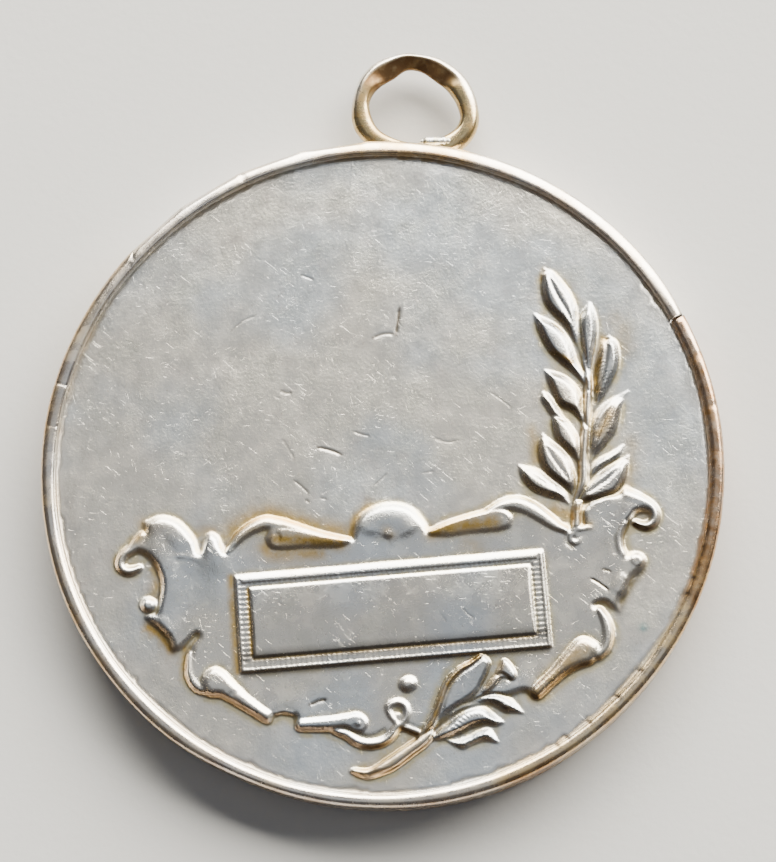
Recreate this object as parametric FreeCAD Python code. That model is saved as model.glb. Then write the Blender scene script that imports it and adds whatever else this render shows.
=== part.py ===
import FreeCAD, Part
import math
import os

# An award medal: two struck silver sheets over a filler disc, crimped into one channel-section rim
# hoop, with an oval wire loop soldered to the rim.
# Frame: millimetres, +Z out of the struck face, +Y towards the loop, origin at the disc's centre on
# the plane that the medal rests on. The medal lies on its back lip.

# ---- driving dimensions ----
OUTER_RADIUS = 16.85
TOTAL_THICKNESS = 2.7
LIP_WIDTH = 0.75            # seen width of the rim's lip on the face
LIP_RISE = 0.45             # how far the lip stands above the flat of the face
CHANNEL_WALL = 0.5          # thickness of the hoop's outer wall
SHEET_THICKNESS = 0.4
SHEET_CLEARANCE = 0.03      # between the sheets' edge and the channel
LIP_FOOT = 0.1              # straight start of the lip's inner wall
LIP_INNER_MIDDLE = (0.03, 0.12)    # of its inner round: from the foot and from the top
LIP_OUTER_MIDDLE = (0.07, 0.08)    # of its outer round: from the wall and from the top
LIP_SHOULDER = 0.3          # height of its outer round
LAND_WIDTH = 0.3            # flat worn on each lip's crest
SEAM_ANGLE = 31.8           # where the hoop's ends meet, from +X
SEAM_GAP = 0.08
DIE_TURN = 9.9              # the struck design sits turned by this much from the loop
DIE_OFFSET = (-0.08, 0.2)   # and this far off the rim's centre
BACK_RING_RADII = (14.8, 15.2)
BACK_RING_DEPTH = 0.15

WIRE_DIAMETER = 0.94
LOOP_HALF_WIDTH = 2.85      # of the wire's centre line
LOOP_HALF_HEIGHT = 2.43
LOOP_SIDE_RADIUS = 2.25
LOOP_CENTRE_Y = 19.12
SOLDER_FILM = 0.06          # between the loop's feet and the rim
SOLDER_DEPTH = 1.0          # along Z
SOLDER_RISE = 0.42          # of the fillet above the rim's edge
SOLDER_SPAN = (0.5, 3.3)    # how far from the centre line each fillet runs, along X

PLATE_RISE = 0.2
LEAF_RISE = 0.34
LEAF_STEP = 0.025            # by which overlapping leaves differ in height
SCROLL_RISE = 0.32
HORN_RISE = 0.38
BOSS_RISE = 0.35
BOSS_ROUND = 0.8             # of a boss's radius or rise, whichever is less
PLAQUE_SIZE = (15.1, 4.8)
PLAQUE_CENTRE = (0.0, -7.55)
PLAQUE_BORDER = 0.2
PLAQUE_BORDER_RISE = 0.3
REED_WIDTH = 0.4
REED_RISE = 0.36
WELL_RISE = 0.26             # floor between the ribs and the panel
PANEL_SIZE = (13.7, 3.34)
PANEL_RISE = 0.35
PANEL_CHAMFER = 0.1

# ---- worked out from them ----
FIELD_Z = TOTAL_THICKNESS - LIP_RISE
BACK_Z = LIP_RISE
MID_Z = TOTAL_THICKNESS / 2
LIP_RADIUS = OUTER_RADIUS - LIP_WIDTH
SHEET_RADIUS = OUTER_RADIUS - CHANNEL_WALL - SHEET_CLEARANCE
WIRE_RADIUS = WIRE_DIAMETER / 2
UP = FreeCAD.Vector(0, 0, 1)
ORIGIN = FreeCAD.Vector(0, 0, 0)


def vector(point, z=0.0):
    return FreeCAD.Vector(point[0], point[1], z)


# ---- outlines in the die's own frame: u to the right, v up ----

def outline(*runs):
    """A closed wire. Each run is the points from one corner to the next: two make a line, more a curve."""
    edges = []
    for i, run in enumerate(runs):
        following = runs[(i + 1) % len(runs)]
        points = [vector(p) for p in run] + [vector(following[0])]
        if len(points) == 2:
            edges.append(Part.makeLine(points[0], points[1]))
        else:
            curve = Part.BSplineCurve()
            curve.interpolate(points)
            edges.append(curve.toShape())
    return Part.Wire(edges)


def raised(wire, rise):
    """A pad of this outline, from inside the sheet to the given height above the field."""
    root = SHEET_THICKNESS / 2
    pad = Part.Face(wire).extrude(FreeCAD.Vector(0, 0, root + rise))
    pad.translate(FreeCAD.Vector(0, 0, FIELD_Z - root))
    return pad


def leaves(sides):
    """Leaves, each given as base, left side, tip and right side. Neighbours differ a little in height."""
    pads = []
    for i, (base, left, tip, right) in enumerate(sides):
        rise = LEAF_RISE - LEAF_STEP * (i % 3)
        pads.append(raised(outline([base] + left, [tip] + right), rise))
    return pads


def boss(centre, radius, rise):
    """A round pad with a rounded top."""
    root = SHEET_THICKNESS / 2
    pad = Part.makeCylinder(radius, root + rise, vector(centre, FIELD_Z - root))
    rim_edges = [e for e in pad.Edges if isinstance(e.Curve, Part.Circle)
                 and e.BoundBox.ZMin > FIELD_Z]
    return pad.makeFillet(min(radius, rise) * BOSS_ROUND, rim_edges)


def centred_box(centre, size, rise):
    """A rectangular pad about a centre."""
    root = SHEET_THICKNESS / 2
    corner = FreeCAD.Vector(centre[0] - size[0] / 2, centre[1] - size[1] / 2, FIELD_Z - root)
    return Part.makeBox(size[0], size[1], root + rise, corner)


def cartouche_plate():
    """The low plate with a scrolled edge that carries the plaque."""
    return raised(outline(
        # left lobe, then the left scroll down to its curl
        [(-9.17, -3.75), (-9.33, -3.2), (-9.6, -2.67), (-10.0, -2.2), (-10.5, -1.9), (-11.0, -1.8)],
        [(-11.87, -2.07), (-11.9, -2.6), (-12.47, -3.13), (-13.17, -3.73), (-13.27, -4.13),
         (-13.07, -4.53), (-12.67, -4.7), (-12.27, -4.6)],
        # the recess and the lower part of the scroll
        [(-12.03, -4.33), (-11.5, -4.6), (-11.2, -5.33), (-11.3, -5.9)],
        [(-11.6, -6.6), (-11.9, -7.0), (-11.33, -7.53), (-11.0, -7.93)],
        [(-10.8, -8.6), (-10.33, -8.6), (-10.0, -8.33)],
        # lower left scroll and its tail
        [(-9.6, -7.95), (-9.95, -8.4), (-10.15, -9.4), (-10.0, -10.35), (-9.2, -10.95),
         (-8.2, -11.25), (-7.0, -12.1)],
        [(-6.35, -12.5), (-6.15, -12.2), (-5.7, -12.05), (-5.1, -12.3)],
        [(-4.95, -12.9), (-3.5, -13.15), (-2.4, -13.55), (-1.5, -14.05), (-0.5, -13.75)],
        [(0.0, -13.1)],
        [(0.95, -13.6), (3.5, -12.6)],
        # lower right, mirrored in kind but not in size
        [(5.6, -12.05), (6.2, -12.05)],
        [(6.65, -12.4), (7.5, -11.8), (8.6, -11.1), (9.9, -10.75), (10.5, -9.9), (10.4, -8.9)],
        [(9.95, -8.15), (10.4, -8.3)],
        [(10.93, -8.47), (11.13, -7.93), (11.5, -7.5), (11.87, -6.87)],
        [(11.9, -6.5), (11.53, -5.8), (11.5, -5.0), (11.73, -4.4)],
        [(12.0, -4.2), (12.33, -4.4), (12.73, -4.53), (13.13, -4.4), (13.37, -4.0),
         (13.0, -3.2), (12.2, -2.53)],
        [(11.87, -2.27), (10.5, -2.6)],
        [(9.0, -3.2), (8.7, -3.9)],
        [(8.33, -3.93), (7.73, -3.33), (6.8, -2.67), (6.33, -2.47), (5.67, -2.57)],
        [(5.0, -2.87), (3.4, -3.3)],
        # centre lobe
        [(2.2, -3.7), (1.93, -3.13), (1.53, -2.6), (0.2, -2.13), (-1.0, -2.45), (-1.6, -3.2)],
        [(-1.73, -3.75), (-3.0, -3.53), (-5.0, -2.85), (-5.73, -2.37), (-6.67, -2.67),
         (-7.4, -3.3)],
        [(-7.8, -3.8), (-8.0, -3.5), (-8.13, -3.13), (-8.53, -2.87), (-9.03, -3.4)],
    ), PLATE_RISE)


def horns():
    """The tapering horns and the rounded tails laid on the plate."""
    shapes = [
        # upper left and upper right horns, each with its point at the centre lobe
        [[(-1.75, -3.95), (-3.0, -3.65), (-4.4, -3.2), (-5.4, -3.0), (-5.8, -3.4)],
         [(-5.6, -3.85), (-4.0, -3.93), (-3.0, -4.03)]],
        [[(2.2, -3.85), (4.0, -3.22), (5.33, -3.02), (6.1, -3.15), (6.15, -3.7)],
         [(5.8, -3.88), (4.0, -3.93), (3.0, -4.03)]],
        # lower left and lower right tails
        [[(-9.35, -10.5), (-9.4, -10.0), (-8.8, -9.62), (-8.2, -10.05), (-7.0, -11.3)],
         [(-6.25, -12.0), (-6.45, -12.35), (-7.6, -11.5), (-8.6, -10.9)]],
        [[(9.75, -10.6), (9.7, -9.95), (9.1, -9.62), (8.4, -10.1), (7.5, -11.0)],
         [(6.5, -11.9), (6.7, -12.3), (8.0, -11.3), (9.0, -10.85)]],
        # lower centre horn
        [[(-4.9, -12.45), (-3.4, -12.45), (-2.1, -12.35)],
         [(-1.65, -12.9), (-2.4, -13.2), (-3.6, -13.05)],
         [(-4.9, -12.85)]],
    ]
    return [raised(outline(*runs), HORN_RISE) for runs in shapes]


def scrolls():
    """The ridges that edge the plate."""
    shapes = [
        # left scroll: a ridge from the lobe down to the curl, and one below the eye
        [[(-11.8, -2.7), (-12.47, -3.13), (-13.2, -3.8), (-13.2, -4.3), (-12.7, -4.6)],
         [(-12.3, -4.4), (-12.7, -3.8), (-12.2, -3.4), (-11.5, -3.6)]],
        [[(-11.75, -6.7), (-11.3, -7.4), (-10.9, -8.0)], [(-10.8, -8.5), (-10.5, -7.8), (-11.2, -6.7)]],
        # right scroll, in the same two parts
        [[(11.9, -2.4), (12.6, -2.87), (13.3, -3.6), (13.3, -4.1), (12.8, -4.45)],
         [(12.4, -4.3), (12.7, -3.75), (12.3, -3.4), (11.6, -3.4)]],
        [[(11.9, -6.7), (11.5, -7.4), (11.1, -7.9)], [(10.95, -8.35), (10.6, -7.7), (11.3, -6.7)]],
        # lower right edge of the plate
        [[(9.95, -8.3), (10.45, -9.0), (10.45, -9.9)], [(10.0, -10.3), (9.95, -9.3)]],
        # the curve under the lower centre horn
        [[(-2.4, -13.3), (-1.5, -13.75), (-0.6, -13.5)], [(-0.1, -13.1), (-0.6, -13.75),
         (-1.5, -14.0), (-2.3, -13.6)]],
    ]
    return [raised(outline(*runs), SCROLL_RISE) for runs in shapes]


def eyes():
    """The round ends of the scrolls and horns."""
    places = [((-11.8, -6.23), 0.45), ((12.0, -6.1), 0.5), ((-5.45, -3.45), 0.33),
              ((9.1, -4.7), 0.35), ((-2.0, -12.95), 0.4), ((0.0, -12.35), 0.5)]
    return [boss(centre, radius, SCROLL_RISE) for centre, radius in places]


def bosses():
    """The round dots in the centre lobe and above the lower curl."""
    return [boss((0.17, -3.67), 0.32, BOSS_RISE), boss((0.5, -11.16), 0.4, BOSS_RISE)]


def upper_spray():
    """The laurel spray that rises from the right of the plate."""
    stem = raised(outline(
        [(9.2, -3.1), (9.6, -2.0), (9.95, -0.5), (10.2, 1.0), (10.5, 2.5)],
        [(10.5, 4.2)],
        [(10.75, 4.2), (10.8, 2.5), (10.55, 1.0), (10.3, -0.5), (10.1, -2.0)],
        [(9.9, -3.1)],
    ), PLATE_RISE)
    return [stem] + leaves([
        ((10.6, 3.7), [(10.0, 5.3), (8.95, 7.2)], (9.0, 9.05), [(10.15, 7.3), (10.6, 5.4)]),
        ((10.7, 3.3), [(10.35, 4.6), (10.4, 6.0)], (11.05, 7.1), [(11.3, 6.0), (11.05, 4.6)]),
        ((10.8, 1.7), [(10.9, 3.2), (11.3, 4.6)], (11.9, 5.3), [(12.25, 4.2), (11.7, 2.8)]),
        ((10.35, -0.9), [(10.6, 0.9), (11.3, 1.9)], (12.5, 2.4), [(11.9, 0.8), (11.1, -0.2)]),
        ((10.1, -2.0), [(10.4, -1.2), (11.1, -0.7)], (12.0, -0.3), [(11.4, -1.05), (10.7, -1.6)]),
        ((9.6, -3.1), [(10.3, -2.0), (11.2, -1.3)], (12.2, -0.85), [(11.9, -2.1), (10.8, -2.85)]),
        ((10.4, 2.7), [(9.7, 3.75), (8.6, 5.1)], (8.3, 6.75), [(9.6, 5.7), (10.2, 4.0)]),
        ((10.2, 0.9), [(9.6, 1.65), (8.85, 2.5)], (8.55, 3.8), [(9.8, 3.2), (10.25, 2.0)]),
        ((9.7, -1.0), [(9.0, 0.0), (8.6, 1.0)], (8.75, 1.75), [(9.6, 0.9), (9.9, 0.0)]),
        ((9.4, -2.4), [(8.3, -1.6), (7.8, -0.5)], (8.1, 0.6), [(9.1, -0.4), (9.5, -1.5)]),
        ((9.3, -3.0), [(8.0, -2.5), (7.1, -1.9)], (6.8, -0.9), [(7.8, -1.2), (8.7, -2.1)]),
    ])


def lower_spray():
    """The short spray with a cut stem that lies across the plate's lower edge."""
    stem = raised(outline(
        [(-2.5, -15.0), (-1.6, -15.0), (0.0, -14.15), (1.0, -13.65)],
        [(1.7, -12.9)],
        [(2.0, -13.2), (1.2, -14.1), (0.0, -14.85)],
        [(-1.8, -15.6)],
    ), LEAF_RISE)
    return [stem] + leaves([
        ((1.3, -13.7), [(1.85, -12.4), (2.5, -11.1), (3.5, -10.4)], (4.3, -9.97),
         [(4.45, -10.9), (3.9, -11.9), (2.5, -12.7)]),
        ((4.0, -11.95), [(4.6, -11.2)], (5.2, -10.35), [(5.7, -10.9), (5.3, -11.7)]),
        ((3.6, -12.2), [(4.4, -11.92), (5.3, -12.2)], (5.85, -12.95), [(5.1, -12.8), (4.4, -12.6)]),
        ((1.9, -13.5), [(3.0, -12.65), (4.2, -12.6)], (4.9, -13.35), [(4.0, -13.4), (2.8, -13.7)]),
        ((2.2, -14.0), [(3.2, -13.9), (4.1, -13.6)], (4.6, -14.3), [(3.6, -14.2), (2.8, -14.4)]),
    ])


def plaque():
    """The blank plate for engraving: a flat border, a ribbed band and a raised panel."""
    inside_border = tuple(s - 2 * PLAQUE_BORDER for s in PLAQUE_SIZE)
    inside_reeds = tuple(s - 2 * REED_WIDTH for s in inside_border)
    frame = centred_box(PLAQUE_CENTRE, PLAQUE_SIZE, PLAQUE_BORDER_RISE)
    band = centred_box(PLAQUE_CENTRE, inside_border, REED_RISE)
    well = centred_box(PLAQUE_CENTRE, inside_reeds, REED_RISE)
    well.translate(FreeCAD.Vector(0, 0, SHEET_THICKNESS / 2 + WELL_RISE))
    panel = centred_box(PLAQUE_CENTRE, PANEL_SIZE, PANEL_RISE)
    top_edges = [e for e in panel.Edges if e.BoundBox.ZMin > FIELD_Z + PANEL_RISE / 2]
    return frame.fuse(band).cut(well).fuse(panel.makeChamfer(PANEL_CHAMFER, top_edges))


# ---- sub-parts ----

def make_front_face():
    """The struck front sheet, with the cartouche, the plaque and the two sprays raised on it."""
    sheet = Part.makeCylinder(SHEET_RADIUS, SHEET_THICKNESS, vector((0, 0), FIELD_Z - SHEET_THICKNESS))
    reliefs = [cartouche_plate(), plaque()]
    reliefs += bosses() + horns() + scrolls() + eyes() + upper_spray() + lower_spray()
    for relief in reliefs:
        relief.rotate(ORIGIN, UP, DIE_TURN)
        relief.translate(vector(DIE_OFFSET))
    return sheet.multiFuse(reliefs).removeSplitter()


def make_back_face():
    """The back sheet, with a plain raised ring inside the lip."""
    sheet = Part.makeCylinder(SHEET_RADIUS, SHEET_THICKNESS, vector((0, 0), BACK_Z))
    base = vector((0, 0), BACK_Z - BACK_RING_DEPTH)
    inner, outer = BACK_RING_RADII
    ring = Part.makeCylinder(outer, BACK_RING_DEPTH, base)
    return sheet.fuse(ring.cut(Part.makeCylinder(inner, BACK_RING_DEPTH, base)))


def make_core_disc():
    """The plain filler disc between the sheets."""
    bottom = BACK_Z + SHEET_THICKNESS
    height = FIELD_Z - SHEET_THICKNESS - bottom
    return Part.makeCylinder(SHEET_RADIUS, height, vector((0, 0), bottom))


def lip_edges(side):
    """The lip's section from its inner foot over the crest to the outer wall, for side +1 or -1."""
    def at(radius, height):
        return FreeCAD.Vector(radius, 0, MID_Z + side * (height - MID_Z))

    crest_in = OUTER_RADIUS - LIP_WIDTH / 2 - LAND_WIDTH / 2
    crest_out = crest_in + LAND_WIDTH
    top = TOTAL_THICKNESS
    foot = at(LIP_RADIUS, FIELD_Z + LIP_FOOT)
    inner_middle = at(LIP_RADIUS + LIP_INNER_MIDDLE[0], top - LIP_INNER_MIDDLE[1])
    outer_middle = at(OUTER_RADIUS - LIP_OUTER_MIDDLE[0], top - LIP_OUTER_MIDDLE[1])
    return [
        Part.makeLine(at(LIP_RADIUS, FIELD_Z), foot),
        Part.Arc(foot, inner_middle, at(crest_in, top)).toShape(),
        Part.makeLine(at(crest_in, top), at(crest_out, top)),
        Part.Arc(at(crest_out, top), outer_middle, at(OUTER_RADIUS, top - LIP_SHOULDER)).toShape(),
    ]


def make_rim_hoop():
    """The channel-section hoop, open by a hair at its butt seam."""
    wall = OUTER_RADIUS - CHANNEL_WALL
    front = lip_edges(1)
    back = lip_edges(-1)
    corners = [FreeCAD.Vector(LIP_RADIUS, 0, FIELD_Z), FreeCAD.Vector(wall, 0, FIELD_Z),
               FreeCAD.Vector(wall, 0, BACK_Z), FreeCAD.Vector(LIP_RADIUS, 0, BACK_Z)]
    inside = [Part.makeLine(corners[i], corners[i + 1]) for i in range(3)]
    outside = Part.makeLine(front[-1].Vertexes[-1].Point, back[-1].Vertexes[-1].Point)
    wire = Part.Wire(Part.__sortEdges__(front + back + inside + [outside]))
    gap_angle = math.degrees(SEAM_GAP / OUTER_RADIUS)
    hoop = Part.Face(wire).revolve(ORIGIN, UP, 360 - gap_angle)
    hoop.rotate(ORIGIN, UP, SEAM_ANGLE + gap_angle / 2)
    return hoop


def loop_path():
    """The oval centre line of the loop's wire: two side arcs and two flatter arcs."""
    step = LOOP_HALF_HEIGHT - LOOP_SIDE_RADIUS
    offset = LOOP_HALF_WIDTH - LOOP_SIDE_RADIUS
    drop = (offset ** 2 - step ** 2) / (2 * step)
    flat_radius = LOOP_HALF_HEIGHT + drop
    reach = flat_radius / math.hypot(offset, drop)
    joint_x = offset * reach
    joint_y = -drop + drop * reach

    def at(x, y):
        return FreeCAD.Vector(x, LOOP_CENTRE_Y + y, MID_Z)

    top = Part.Arc(at(-joint_x, joint_y), at(0, LOOP_HALF_HEIGHT), at(joint_x, joint_y))
    right = Part.Arc(at(joint_x, joint_y), at(LOOP_HALF_WIDTH, 0), at(joint_x, -joint_y))
    bottom = Part.Arc(at(joint_x, -joint_y), at(0, -LOOP_HALF_HEIGHT), at(-joint_x, -joint_y))
    left = Part.Arc(at(-joint_x, -joint_y), at(-LOOP_HALF_WIDTH, 0), at(-joint_x, joint_y))
    return Part.Wire([top.toShape(), right.toShape(), bottom.toShape(), left.toShape()])


def make_suspension_loop():
    """The oval wire loop, filed to sit on the rim's edge."""
    path = loop_path()
    start = path.Edges[0].Vertexes[0].Point
    direction = path.Edges[0].tangentAt(path.Edges[0].FirstParameter)
    section = Part.Wire(Part.makeCircle(WIRE_RADIUS, start, direction))
    ring = path.makePipeShell([section], True, False)
    seat = Part.makeCylinder(OUTER_RADIUS + SOLDER_FILM, TOTAL_THICKNESS)
    return ring.cut(seat)


def make_loop_solder(side, loop):
    """The solder under and beside one foot of the loop, for side -1 (left) or +1 (right)."""
    def on_circle(x, radius):
        return FreeCAD.Vector(side * x, math.sqrt(radius ** 2 - x ** 2), MID_Z - SOLDER_DEPTH / 2)

    near, far = SOLDER_SPAN
    middle = (near + far) / 2
    inner = Part.Arc(on_circle(near, OUTER_RADIUS), on_circle(middle, OUTER_RADIUS),
                     on_circle(far, OUTER_RADIUS))
    outer = Part.Arc(on_circle(far, OUTER_RADIUS), on_circle(middle, OUTER_RADIUS + SOLDER_RISE),
                     on_circle(near, OUTER_RADIUS))
    lens = Part.Face(Part.Wire([inner.toShape(), outer.toShape()]))
    return lens.extrude(FreeCAD.Vector(0, 0, SOLDER_DEPTH)).cut(loop)


def main():
    loop = make_suspension_loop()
    nodes = {
        "front_face": make_front_face(),
        "back_face": make_back_face(),
        "core_disc": make_core_disc(),
        "rim_hoop": make_rim_hoop(),
        "suspension_loop": loop,
        "loop_solder_left": make_loop_solder(-1, loop),
        "loop_solder_right": make_loop_solder(1, loop),
    }
    os.makedirs("parts", exist_ok=True)
    for name, shape in nodes.items():
        shape.exportStep(f"parts/{name}.step")
        box = shape.BoundBox
        print(f"{name}: valid {shape.isValid()}, solids {len(shape.Solids)}, volume {shape.Volume:.2f}, "
              f"x {box.XMin:.2f}..{box.XMax:.2f}, y {box.YMin:.2f}..{box.YMax:.2f}, "
              f"z {box.ZMin:.2f}..{box.ZMax:.2f}")


main()
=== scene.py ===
import math

import bpy
import numpy as np
from mathutils import Matrix, Vector
from mathutils.geometry import delaunay_2d_cdt


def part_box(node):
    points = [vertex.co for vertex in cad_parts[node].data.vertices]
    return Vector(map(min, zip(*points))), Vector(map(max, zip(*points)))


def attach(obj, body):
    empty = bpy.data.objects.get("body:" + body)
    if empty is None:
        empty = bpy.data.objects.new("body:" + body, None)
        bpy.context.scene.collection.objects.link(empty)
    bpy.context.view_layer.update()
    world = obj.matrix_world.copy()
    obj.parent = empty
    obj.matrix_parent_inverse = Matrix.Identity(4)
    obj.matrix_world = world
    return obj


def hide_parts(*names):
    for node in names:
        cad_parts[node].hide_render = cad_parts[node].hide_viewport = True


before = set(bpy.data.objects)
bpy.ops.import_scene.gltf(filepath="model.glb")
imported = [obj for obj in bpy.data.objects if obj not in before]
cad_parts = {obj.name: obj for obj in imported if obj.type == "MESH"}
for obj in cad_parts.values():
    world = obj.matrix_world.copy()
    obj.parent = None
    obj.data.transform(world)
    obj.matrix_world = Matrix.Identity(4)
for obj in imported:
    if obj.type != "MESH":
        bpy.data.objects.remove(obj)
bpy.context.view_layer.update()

# The relief is drawn in millimetres in the die's own frame, u to the right and v up. It is turned and
# shifted onto the medal when its mesh is made. Every mesh is in metres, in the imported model's frame.
MM = 0.001
DIE_TURN = math.radians(9.9)
DIE_OFFSET = (-0.08, 0.2)


def box_mm(node):
    """A node's lowest and highest corners in millimetres."""
    return [Vector(corner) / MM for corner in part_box(node)]


SHEET = box_mm("front_face")[1].x
BACK_LOW, BACK_HIGH = box_mm("back_face")
RIM_LOW, RIM_HIGH = box_mm("rim_hoop")
LOOP_LOW, LOOP_HIGH = box_mm("suspension_loop")
OUTER = min(RIM_HIGH.x, -RIM_LOW.x, RIM_HIGH.y, -RIM_LOW.y)
TOP = RIM_HIGH.z
LIP_RISE = 0.45
LIP_WIDTH = 0.75
CREST = OUTER - 0.52 * LIP_WIDTH
FIELD = TOP - LIP_RISE
SHEET_THICKNESS = 0.4
BACK_RING = 15.0
BACK_RING_HALF = 0.32
LOOP_MIDDLE = (LOOP_LOW.z + LOOP_HIGH.z) / 2
WIRE_HALF = (LOOP_HIGH.z - LOOP_LOW.z) / 2

# Angles round the rim are in degrees, counter-clockwise from its right side.
SEAM_ANGLE = 31.8
SEAM_GAP = 0.27


# ---------------------------------------------------------------- curves and distances

def curve(points, closed=False, step=0.07):
    """A Catmull-Rom curve through the points, as an array of points about a step apart."""
    p = np.array(points, float)
    if len(p) == 2 and not closed:
        n = max(2, int(np.linalg.norm(p[1] - p[0]) / step) + 1)
        return p[0] + (p[1] - p[0]) * np.linspace(0, 1, n)[:, None]
    if closed:
        p = np.vstack([p[-1], p, p[0], p[1]])
    else:
        p = np.vstack([2 * p[0] - p[1], p, 2 * p[-1] - p[-2]])
    out = []
    for a, b, c, d in zip(p, p[1:], p[2:], p[3:]):
        n = max(2, int(np.linalg.norm(c - b) / step) + 1)
        t = np.linspace(0, 1, n, endpoint=False)[:, None]
        out.append(0.5 * (2 * b + (c - a) * t + (2 * a - 5 * b + 4 * c - d) * t ** 2
                          + (3 * b - 3 * c + d - a) * t ** 3))
    if not closed:
        out.append(p[-2][None])
    return np.vstack(out)


def ring_of(*runs):
    """A closed ring. Each run is a smooth stretch; the corners are where runs meet."""
    parts = []
    for i, run in enumerate(runs):
        following = runs[(i + 1) % len(runs)]
        parts.append(curve(list(run) + [following[0]])[:-1])
    return np.vstack(parts)


def arc(centre, radius, start, end, count=24):
    """Points of a circular arc, from and to an angle in degrees."""
    a = np.radians(np.linspace(start, end, count))
    return np.stack([centre[0] + radius * np.cos(a), centre[1] + radius * np.sin(a)], 1)


def as_path(points):
    """An array is a path already; a list of points becomes the curve through them."""
    return points if isinstance(points, np.ndarray) else curve(points)


def to_path(path, u, v):
    """Distance from each point to an open path, and how far along it the nearest place is, 0 to 1."""
    lengths = np.linalg.norm(np.diff(path, axis=0), axis=1)
    total = max(lengths.sum(), 1e-9)
    best = np.full(u.shape, 1e9)
    along = np.zeros(u.shape)
    run = 0.0
    for a, b, length in zip(path, path[1:], lengths):
        du, dv = b - a
        t = np.clip(((u - a[0]) * du + (v - a[1]) * dv) / max(length ** 2, 1e-12), 0, 1)
        d = (u - a[0] - t * du) ** 2 + (v - a[1] - t * dv) ** 2
        nearer = d < best
        best = np.where(nearer, d, best)
        along = np.where(nearer, (run + t * length) / total, along)
        run += length
    return np.sqrt(best), along


def inside(ring, u, v):
    """How far inside a closed ring each point lies, negative outside it."""
    closed = np.vstack([ring, ring[:1]])
    distance, _ = to_path(closed, u, v)
    within = np.zeros(u.shape, bool)
    for (au, av), (bu, bv) in zip(closed, closed[1:]):
        crosses = (av > v) != (bv > v)
        if bv != av:
            within ^= crosses & (u < (bu - au) * (v - av) / (bv - av) + au)
    return np.where(within, distance, -distance)


def smooth(t):
    """A smooth step from 0 to 1."""
    t = np.clip(t, 0, 1)
    return t * t * (3 - 2 * t)


def dome(t):
    """A quarter round from 0 at t = 0 to 1 at t = 1."""
    t = np.clip(t, 0, 1)
    return np.sqrt(1 - (1 - t) ** 2)


# ---------------------------------------------------------------- the relief as a height field

GRID = 0.05
# how wide a struck wall is, seen from above
WALL = 0.2


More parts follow.
